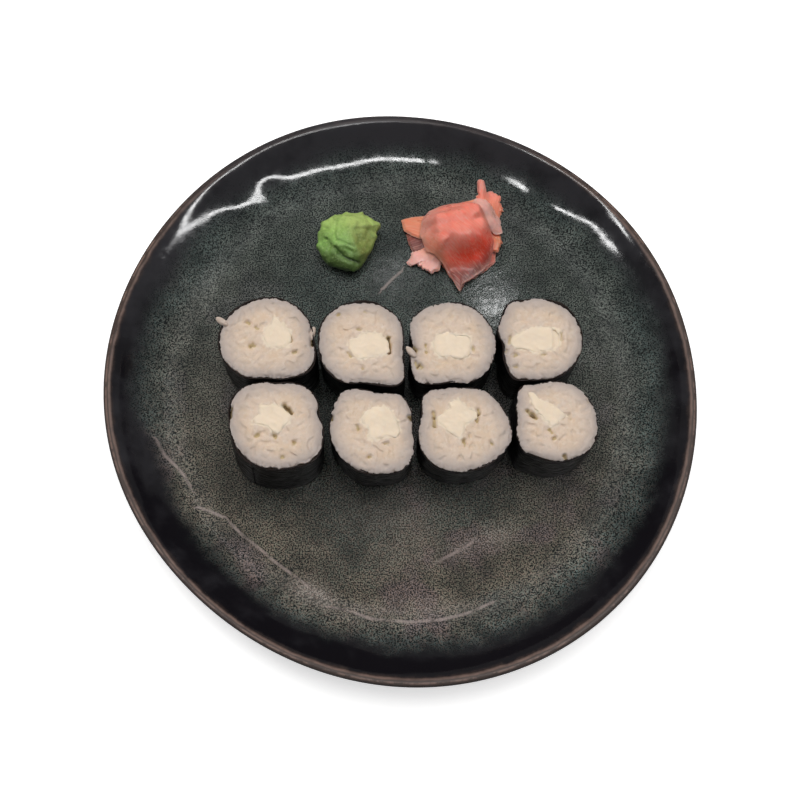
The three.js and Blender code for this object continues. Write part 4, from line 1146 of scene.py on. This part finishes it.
def cut_face(roll, mesh):
    """Levels the grains as a knife does, opens the gaps, keeps the rice inside its seaweed and marks how deep
    each point lies, how near the rim it is and how much cheese is smeared on it."""
    spots = np.empty(len(mesh.vertices) * 3)
    mesh.vertices.foreach_get("co", spots)
    spots = spots.reshape(-1, 3)
    x, y = spots[:, 0] - roll["x"], spots[:, 1] - roll["y"]
    level = cut_level(roll, x, y)
    near = smooth_step(*FACE_HEIGHTS, spots[:, 2] - level)
    ragged = rumples(x, y, 0 * x, RAGGED_PITCH, roll["x"])
    outside = outside_outline(cheese_middle(roll), roll["cheese"], x, y) + CHEESE_RAGGEDNESS * ragged
    proud = cut_depth(roll, x, y, spots[:, 2] - level, near, outside, ragged)
    spots[:, 2] = level + proud
    rim_share = held_in(roll, spots, near) * near
    mesh.vertices.foreach_set("co", (spots * MM).ravel())
    # How deep each point lies in a gap, which sets the painted shade there.
    put_mark(mesh, "gap_share", np.clip(-proud / DEEPEST_GAP, 0, 1) * near)
    # The share of the radius, which also sets the painted shade at the rim.
    put_mark(mesh, "rim_share", rim_share)
    put_mark(mesh, "smear_share", np.exp(-np.maximum(outside, 0) / SMEAR_REACH))
    mesh.update()


def put_mark(mesh, mark, values):
    """Keeps a value for each point of a mesh, which its material reads."""
    mesh.attributes.new(mark, "FLOAT", "POINT").data.foreach_set("value", values)


def make_rice(roll, s, material, rng):
    """The rice of one roll: packed grains grown together, with the face that the knife left."""
    bm = rice_body(roll)
    grains = joined_grains("grains", packed_places(roll, s, rng))
    bm.from_mesh(grains)
    whole = bpy.data.meshes.new("whole")
    bm.to_mesh(whole)
    bm.free()
    mesh = worked(
        whole,
        ("REMESH", dict(mode="VOXEL", voxel_size=s.fineness / MM, use_smooth_shade=True)),
        ("SMOOTH", dict(factor=0.5, iterations=2)),
    )
    cut_face(roll, mesh)
    mesh.name = "rice_packed_" + roll["name"]
    for scrap in (grains, whole):
        bpy.data.meshes.remove(scrap)
    return place_piece(mesh, "rice_packed_" + roll["name"], material, ["rice_" + roll["name"]])


def make_loose_grains(s, material, rng):
    """The grains that stick out of the rolls, as one mesh of joined grains."""
    places, nodes = [], []
    for roll in ROLLS:
        for bearing, across, points, under in roll.get("loose", ()):
            angle = math.radians(bearing)
            places.append(grain_place(
                roll, s, across * math.cos(angle), across * math.sin(angle), roll_top(roll) - under,
                math.radians(points), LOOSE_TILT, rng.uniform(0, TURN)))
        if "loose" in roll:
            nodes.append("rice_" + roll["name"])
    mesh = joined_grains("rice_grains", places, around=16, along=12, unit=MM)
    mesh.shade_smooth()
    put_mark(mesh, "rim_share", [LOOSE_RIM_SHARE] * len(mesh.vertices))
    return place_piece(mesh, "rice_grains", material, nodes)


# ---- Seaweed and cheese ----


def make_nori(roll, s, material):
    """A seaweed sheet: a strip wound once round the rice, its end lying over its start."""
    overlap, start = math.radians(NORI_OVERLAP), math.radians(roll["seam"])
    wrinkle, thick = s.wrinkle / MM, s.thickness / MM
    along_cells, up_cells = NORI_CELLS
    bm = bmesh.new()
    share_layer = bm.verts.layers.float.new("top_share")
    bmesh.ops.create_grid(bm, x_segments=along_cells, y_segments=up_cells, size=1)
    for vert in bm.verts:
        along, level = (vert.co.x + 1) / 2, (vert.co.y + 1) / 2
        turn = along * (TURN + overlap)
        angle = start + turn
        cos, sin = math.cos(angle), math.sin(angle)
        under = float(smooth_step(overlap * 1.3, 0, turn)) * START_SINKS
        over = float(smooth_step(TURN - overlap * 0.5, TURN, turn)) * END_STANDS
        wave = 0.25 * math.sin(5 * angle + roll["seam"]) + 0.25 * rumple(4 * cos, 4 * sin, 0, 1, roll["x"])
        height = ROLL_FOOT + (nori_top(roll) + wave - ROLL_FOOT) * level
        x, y = NORI_ROUND * cos, NORI_ROUND * sin
        crease = rumple(x * 1.6, y * 1.6, height * 0.45, 3.4, roll["x"])
        crease += 0.5 * rumple(x, y, height * 0.5, 1.5, roll["y"])
        across = float(outline_radius(roll, angle)) - NORI_INSET - thick - under + over + wrinkle * crease
        cx, cy = lean_at(roll, height)
        vert.co = (cx + across * cos, cy + across * sin, height)
        vert[share_layer] = level
    bmesh.ops.recalc_face_normals(bm, faces=bm.faces[:])
    bmesh.ops.solidify(bm, geom=bm.faces[:], thickness=-thick)
    bmesh.ops.recalc_face_normals(bm, faces=bm.faces[:])
    return finish_piece(bm, "seaweed_" + roll["name"], material, ["nori_" + roll["name"]])


def make_cheese(roll, s, material):
    """One strip of cream cheese through the roll, cut with a knife. Its profile runs from its middle (0) to
    its side (1), and from its foot (0) to its face (10)."""
    cheese, middle = roll["cheese"], cheese_middle(roll)
    rise = roll_top(roll) - CUT_INSET - ROLL_FOOT
    face = 10.0
    profile = [(i / CHEESE_RINGS, face) for i in range(CHEESE_RINGS)]
    profile += [(1, level) for level in (face, 9.85, 9.7, 9.4, 9, 7, 0)] + [(0, 0)]

    def place(across, level, angle):
        cos, sin = math.cos(angle), math.sin(angle)
        reach = float(outline_reach(middle, cheese, angle)) + CHEESE_OVERLAP
        bends = (CHEESE_ROUND * cos, CHEESE_ROUND * sin, 0)
        reach += 0.5 * rumple(*bends, 2.2, roll["x"]) + 0.35 * rumple(*bends, 0.9, roll["y"])
        x, y = middle[0] + reach * across * cos, middle[1] + reach * across * sin
        height = ROLL_FOOT + rise * level / face
        if level > 9.5:
            lumps = rumple(x, y, 0, 3.2, roll["y"]) + 0.6 * rumple(x, y, 0, 1.3, roll["x"])
            marks = rumple(x * 0.5 + y, y * 0.25, 0, 1.6, roll["x"])
            rounding = float(smooth_step(0.75, 1.0, across)) ** 2 if level > 9.9 else 1
            height += s.smear / MM * (1.3 * lumps + 0.7 * marks) - CHEESE_ROUNDING * rounding + CHEESE_PROUD
            if "ledge" in roll:
                ledge_x, ledge_drop = roll["ledge"]
                height -= ledge_drop * float(smooth_step(ledge_x - 0.2, ledge_x + 0.2, x))
        return roll["x"] + x, roll["y"] + y, height, ()

    bm = turned(profile, CHEESE_STEPS, place)
    smoothed(bm, bm.verts[:], 0.5)
    return finish_piece(bm, "cheese_block_" + roll["name"], material, ["cheese_" + roll["name"]])


# ---- Wasabi ----


def wasabi_dents(x, y, z, upward, kneading):
    """The dents, creases and nubs of the paste at a point."""
    dents = kneading * sum(size * rumple(x, y, z, pitch, seed) for size, pitch, seed in WASABI_DENTS)
    if upward > 0:
        for line, half, depth in WASABI_CREASES:
            dents -= depth * math.exp(-((line_gap(line, x, y) / half) ** 2)) * min(1, upward * 4)
    height, spread = WASABI_NUB
    return dents + sum(height * math.exp(-((x - nx) ** 2 + (y - ny) ** 2) / spread) for nx, ny in WASABI_NUBS)


def make_wasabi(s):
    """A pinched lump of paste: flat faces, a ridge over its back, and kneaded creases."""
    bm = bmesh.new()
    bmesh.ops.create_icosphere(bm, subdivisions=6, radius=1)
    facets = []
    for bearing, rise, part in WASABI_FACETS:
        (cos, sin), (flat, up) = heading(bearing), heading(rise)
        facets.append((Vector((flat * cos, flat * sin, up)), part))
    middle_x, middle_y = WASABI_MIDDLE
    for vert in bm.verts:
        towards = vert.co.normalized()
        faces = [1.0] + [part / normal.dot(towards) for normal, part in facets if normal.dot(towards) > 0.3]
        cut = -math.log(sum(math.exp(-FACET_SHARPNESS * face) for face in faces)) / FACET_SHARPNESS
        x, y, z = towards
        out = cut + WASABI_LUMP * math.sin(5 * x + 2) * math.sin(6 * y + 1) * math.sin(7 * z)
        across = float(outline_reach(WASABI_MIDDLE, WASABI_OUTLINE, math.atan2(y, x))) * out
        up = max(WASABI_HEIGHT * (WASABI_WAIST + z * out * (1 - WASABI_WAIST)), 0)
        px, py = middle_x + across * x, middle_y + across * y
        dents = wasabi_dents(px, py, up, z, s.kneading / MM)
        part = dents / max(across, 5)
        top = ROLL_FOOT + max(up + dents * max(z, 0), 0)
        vert.co = (px + (px - middle_x) * part, py + (py - middle_y) * part, top)
    return finish_piece(bm, "wasabi_lump", wasabi_finish(s), ["wasabi"])


# ---- Ginger ----


class Surface:
    """A height over the table held as samples round the ginger."""

    left, low, pitch, across = -12.0, 28.0, 0.4, 166

    def __init__(self, heights):
        self.heights = heights

    @classmethod
    def grid(cls):
        steps = np.arange(cls.across) * cls.pitch
        return np.meshgrid(cls.left + steps, cls.low + steps)

    def at(self, x, y):
        u = np.clip((x - self.left) / self.pitch, 0, self.across - 1.001)
        v = np.clip((y - self.low) / self.pitch, 0, self.across - 1.001)
        i, j = u.astype(int), v.astype(int)
        h, du, dv = self.heights, u - i, v - j
        near = h[j, i] * (1 - du) + h[j, i + 1] * du
        return near * (1 - dv) + (h[j + 1, i] * (1 - du) + h[j + 1, i + 1] * du) * dv

    def under_slice(self, x, y):
        """The highest point close by, on which a slice comes to rest."""
        turns = np.linspace(0, TURN, 9)[:-1]
        near = [(SLICE_STIFFNESS * math.cos(turn), SLICE_STIFFNESS * math.sin(turn)) for turn in turns]
        return np.maximum.reduce([self.at(x, y)] + [self.at(x + dx, y + dy) for dx, dy in near])


def covered(part, x, y):
    """How much of a slice's thickness lies at a point: 1 inside it, and fading out beyond its edge."""
    return 1 - smooth_step(0, SLICE_FADE, outside_outline(part["middle"], part["outline"], x, y))


def folded(part, x, y):
    """How far a slice's folds lift it."""
    rise = 0 * x
    for x0, y0, bearing, height, width, long in part["folds"]:
        along, across = along_and_across(x - x0, y - y0, bearing)
        rise = rise + height * np.exp(-((along / long) ** 2) - (across / width) ** 2)
    return rise


def crinkled(part, x, y, crinkle):
    """The small creases of a slice, which run along its fibres."""
    along, across = (side.ravel() for side in along_and_across(x, y, part["fibres"]))
    seed, fine, level = part["middle"][0], 0.25 + part["frill"], 0 * along
    creases = fine * rumples(along * 0.35, across, level, 2.6, seed)
    creases += 0.6 * rumples(along, across, level, 6, seed / 2)
    creases += 0.3 * fine * rumples(along * 0.25, across, level, 1.1, seed / 3)
    return crinkle * creases.reshape(x.shape)


def slice_sheet(part, bottom, thickness, cells=72):
    """A thin sheet inside an outline, over a height function, thinner towards its edge."""
    bm = bmesh.new()
    edge_layer = bm.verts.layers.float.new("edge_share")
    bmesh.ops.create_grid(bm, x_segments=cells, y_segments=cells, size=1)
    verts = list(bm.verts)
    u, v = np.array([vert.co.x for vert in verts]), np.array([vert.co.y for vert in verts])
    dx, dy = u * np.sqrt(1 - v * v / 2), v * np.sqrt(1 - u * u / 2)
    angle = np.arctan2(dy, dx)
    round_x, round_y, level, seed = 5 * np.cos(angle), 5 * np.sin(angle), 0 * angle, part["middle"][1]
    ragged = rumples(round_x, round_y, level, 1.4, seed) + 0.6 * rumples(round_x, round_y, level, 0.55, seed)
    reach = outline_reach(part["middle"], part["outline"], angle) + part["frill"] * ragged
    x, y = part["middle"][0] + dx * reach, part["middle"][1] + dy * reach
    for vert, px, py, pz, far in zip(verts, x, y, bottom(x, y), np.hypot(dx, dy)):
        vert.co = (px, py, pz)
        vert[edge_layer] = min(far, 1)
    smoothed(bm, [vert for vert in verts if vert.is_boundary], 0.4)
    made = bmesh.ops.extrude_face_region(bm, geom=bm.faces[:])["geom"]
    for vert in (item for item in made if isinstance(item, bmesh.types.BMVert)):
        vert.co.z += thickness * (1 - EDGE_THINNING * float(smooth_step(0.84, 1.0, vert[edge_layer])))
    bmesh.ops.recalc_face_normals(bm, faces=bm.faces[:])
    return bm


def plate_surface(x, y):
    """The height at which the ginger lies on the plate."""
    return plate_top(np.hypot(x, y) / PLATE_RADIUS) + GINGER_CLEARANCE


def heap_rise(x, y):
    """How far the heap lifts the slices over it."""
    dx, dy = x - HEAP["middle"][0], y - HEAP["middle"][1]
    part = np.hypot(dx, dy) / outline_reach(HEAP["middle"], HEAP["outline"], np.arctan2(dy, dx))
    return HEAP_HEIGHT * (1 - smooth_step(0.25, 1.30, part))


def make_ginger(s):
    """The heap and its slices, each draped over what lies under it."""
    thick, crinkle = s.thickness / MM, s.crinkle / MM
    gx, gy = Surface.grid()
    heap_top = plate_surface(gx, gy) + covered(HEAP, gx, gy) * (HEAP_THICKNESS + 0.3) + heap_rise(gx, gy)
    below = Surface(heap_top)
    base = slice_sheet(HEAP, lambda x, y: plate_surface(x, y) + heap_rise(x, y) - 0.2, HEAP_THICKNESS, 48)
    finish_piece(base, "pickled_ginger_heap", ginger_finish(s, HEAP), ["ginger_heap"])
    for part in SLICES:
        def bottom(x, y, below=below, part=part):
            return below.under_slice(x, y) + folded(part, x, y) + crinkled(part, x, y, crinkle)

        bm = slice_sheet(part, bottom, thick)
        finish_piece(bm, "pickled_" + part["name"], ginger_finish(s, part), [part["name"]])
        resting = below.under_slice(gx, gy) + folded(part, gx, gy)
        below = Surface(below.heights + covered(part, gx, gy) * (resting + thick + SLICE_GAP - below.heights))


# ---- Stage ----


def aim(piece, target):
    direction = Vector(target) - piece.location
    piece.rotation_euler = direction.to_track_quat("-Z", "Y").to_euler()


def soft_light(name, place, target, size, power, tint=(1, 1, 1)):
    data = bpy.data.lights.new(name, "AREA")
    data.shape = "RECTANGLE"
    data.size, data.size_y = size
    data.energy = power
    data.color = tint
    light = bpy.data.objects.new(name, data)
    bpy.context.scene.collection.objects.link(light)
    light.location = place
    aim(light, target)
    return light


def set_camera(scene, s):
    target = Vector(CAMERA_TARGET) * MM
    back = Vector((0, -math.cos(s.elevation), math.sin(s.elevation)))
    data = bpy.data.cameras.new("camera")
    data.lens, data.sensor_width = s.lens, SENSOR_WIDTH
    camera = bpy.data.objects.new("camera", data)
    scene.collection.objects.link(camera)
    camera.location = target + back * s.distance
    aim(camera, target)
    scene.camera = camera


def set_world(scene):
    world = bpy.data.worlds.new("room")
    world.use_nodes = True
    background = world.node_tree.nodes["Background"]
    background.inputs["Color"].default_value = ROOM_TINT
    background.inputs["Strength"].default_value = ROOM_STRENGTH
    scene.world = world
    scene.view_settings.view_transform = "Standard"


def make_floor(s):
    bm = bmesh.new()
    bmesh.ops.create_grid(bm, x_segments=4, y_segments=4, size=STAGE_REACH)
    floor = bpy.data.meshes.new("floor")
    bm.to_mesh(floor)
    bm.free()
    piece = bpy.data.objects.new("floor", floor)
    bpy.context.scene.collection.objects.link(piece)
    f = Finish("pale_floor")
    f.set(Base_Color=f.mix(f.noise(200), s.floor, shaded(s.floor, 0.985)), Roughness=0.9)
    f.set(Specular_IOR_Level=0.1, Emission_Color=(1, 1, 1, 1), Emission_Strength=0.6)
    floor.materials.append(f.material)
    piece.visible_glossy = False


def make_stage(s):
    scene = bpy.context.scene
    set_camera(scene, s)
    for name, place, size, share_of_key in SOFTBOXES:
        light = soft_light(name, place, SOFTBOX_TARGET, size, s.key * share_of_key, SOFTBOX_TINT)
        light.visible_glossy = False
    for name, place, size, share_of_tubes in TUBES:
        light = soft_light(name, place, (place[0], 0, 0), size, s.tubes * share_of_tubes)
        light.visible_diffuse = False
    set_world(scene)
    make_floor(s)


# ---- Operators ----


class MAKI_OT_plate(bpy.types.Operator):
    """Turns the plate and warps it to its hand-formed shape"""

    bl_idname = "maki.plate"
    bl_label = "Plate"

    def execute(self, context):
        make_plate(context.scene.maki_plate)
        return {"FINISHED"}


class MAKI_OT_rice(bpy.types.Operator):
    """Packs the rice of each roll and lays the grains on its cut face"""

    bl_idname = "maki.rice"
    bl_label = "Rice"

    def execute(self, context):
        settings = context.scene.maki_rice
        material = rice_finish(settings)
        rng = random.Random(settings.seed)
        for roll in ROLLS:
            make_rice(roll, settings, material, rng)
        make_loose_grains(settings, material, rng)
        return {"FINISHED"}


class MAKI_OT_nori(bpy.types.Operator):
    """Winds a seaweed sheet round each roll"""

    bl_idname = "maki.nori"
    bl_label = "Seaweed"

    def execute(self, context):
        settings = context.scene.maki_nori
        material = nori_finish(settings)
        for roll in ROLLS:
            make_nori(roll, settings, material)
        return {"FINISHED"}


class MAKI_OT_cheese(bpy.types.Operator):
    """Sets a strip of cream cheese in each roll"""

    bl_idname = "maki.cheese"
    bl_label = "Cheese"

    def execute(self, context):
        settings = context.scene.maki_cheese
        material = cheese_finish(settings)
        for roll in ROLLS:
            make_cheese(roll, settings, material)
        return {"FINISHED"}


class MAKI_OT_wasabi(bpy.types.Operator):
    """Kneads the lump of wasabi"""

    bl_idname = "maki.wasabi"
    bl_label = "Wasabi"

    def execute(self, context):
        make_wasabi(context.scene.maki_wasabi)
        return {"FINISHED"}


class MAKI_OT_ginger(bpy.types.Operator):
    """Heaps up the slices of pickled ginger"""

    bl_idname = "maki.ginger"
    bl_label = "Ginger"

    def execute(self, context):
        make_ginger(context.scene.maki_ginger)
        return {"FINISHED"}


class MAKI_OT_stage(bpy.types.Operator):
    """Sets up the camera, the lights and the floor"""

    bl_idname = "maki.stage"
    bl_label = "Stage"

    def execute(self, context):
        make_stage(context.scene.maki_stage)
        return {"FINISHED"}


STEPS = (
    ("stage", MAKI_OT_stage, StageSettings),
    ("plate", MAKI_OT_plate, PlateSettings),
    ("nori", MAKI_OT_nori, NoriSettings),
    ("rice", MAKI_OT_rice, RiceSettings),
    ("cheese", MAKI_OT_cheese, CheeseSettings),
    ("wasabi", MAKI_OT_wasabi, WasabiSettings),
    ("ginger", MAKI_OT_ginger, GingerSettings),
)


class MAKI_PT_panel(bpy.types.Panel):
    """Lists each step with its settings"""

    bl_idname = "MAKI_PT_panel"
    bl_label = "Maki plate"
    bl_space_type = "VIEW_3D"
    bl_region_type = "UI"
    bl_category = "Maki"

    def draw(self, context):
        for name, operator, settings in STEPS:
            box = self.layout.box()
            box.operator(operator.bl_idname)
            for key in settings.__annotations__:
                box.prop(getattr(context.scene, "maki_" + name), key)


def register():
    for name, operator, settings in STEPS:
        bpy.utils.register_class(settings)
        bpy.utils.register_class(operator)
        setattr(bpy.types.Scene, "maki_" + name, PointerProperty(type=settings))
    bpy.utils.register_class(MAKI_PT_panel)


def unregister():
    bpy.utils.unregister_class(MAKI_PT_panel)
    for name, operator, settings in reversed(STEPS):
        delattr(bpy.types.Scene, "maki_" + name)
        bpy.utils.unregister_class(operator)
        bpy.utils.unregister_class(settings)


def main():
    register()
    for name, _, _ in STEPS:
        getattr(bpy.ops.maki, name)()


if __name__ == "__main__":
    main()
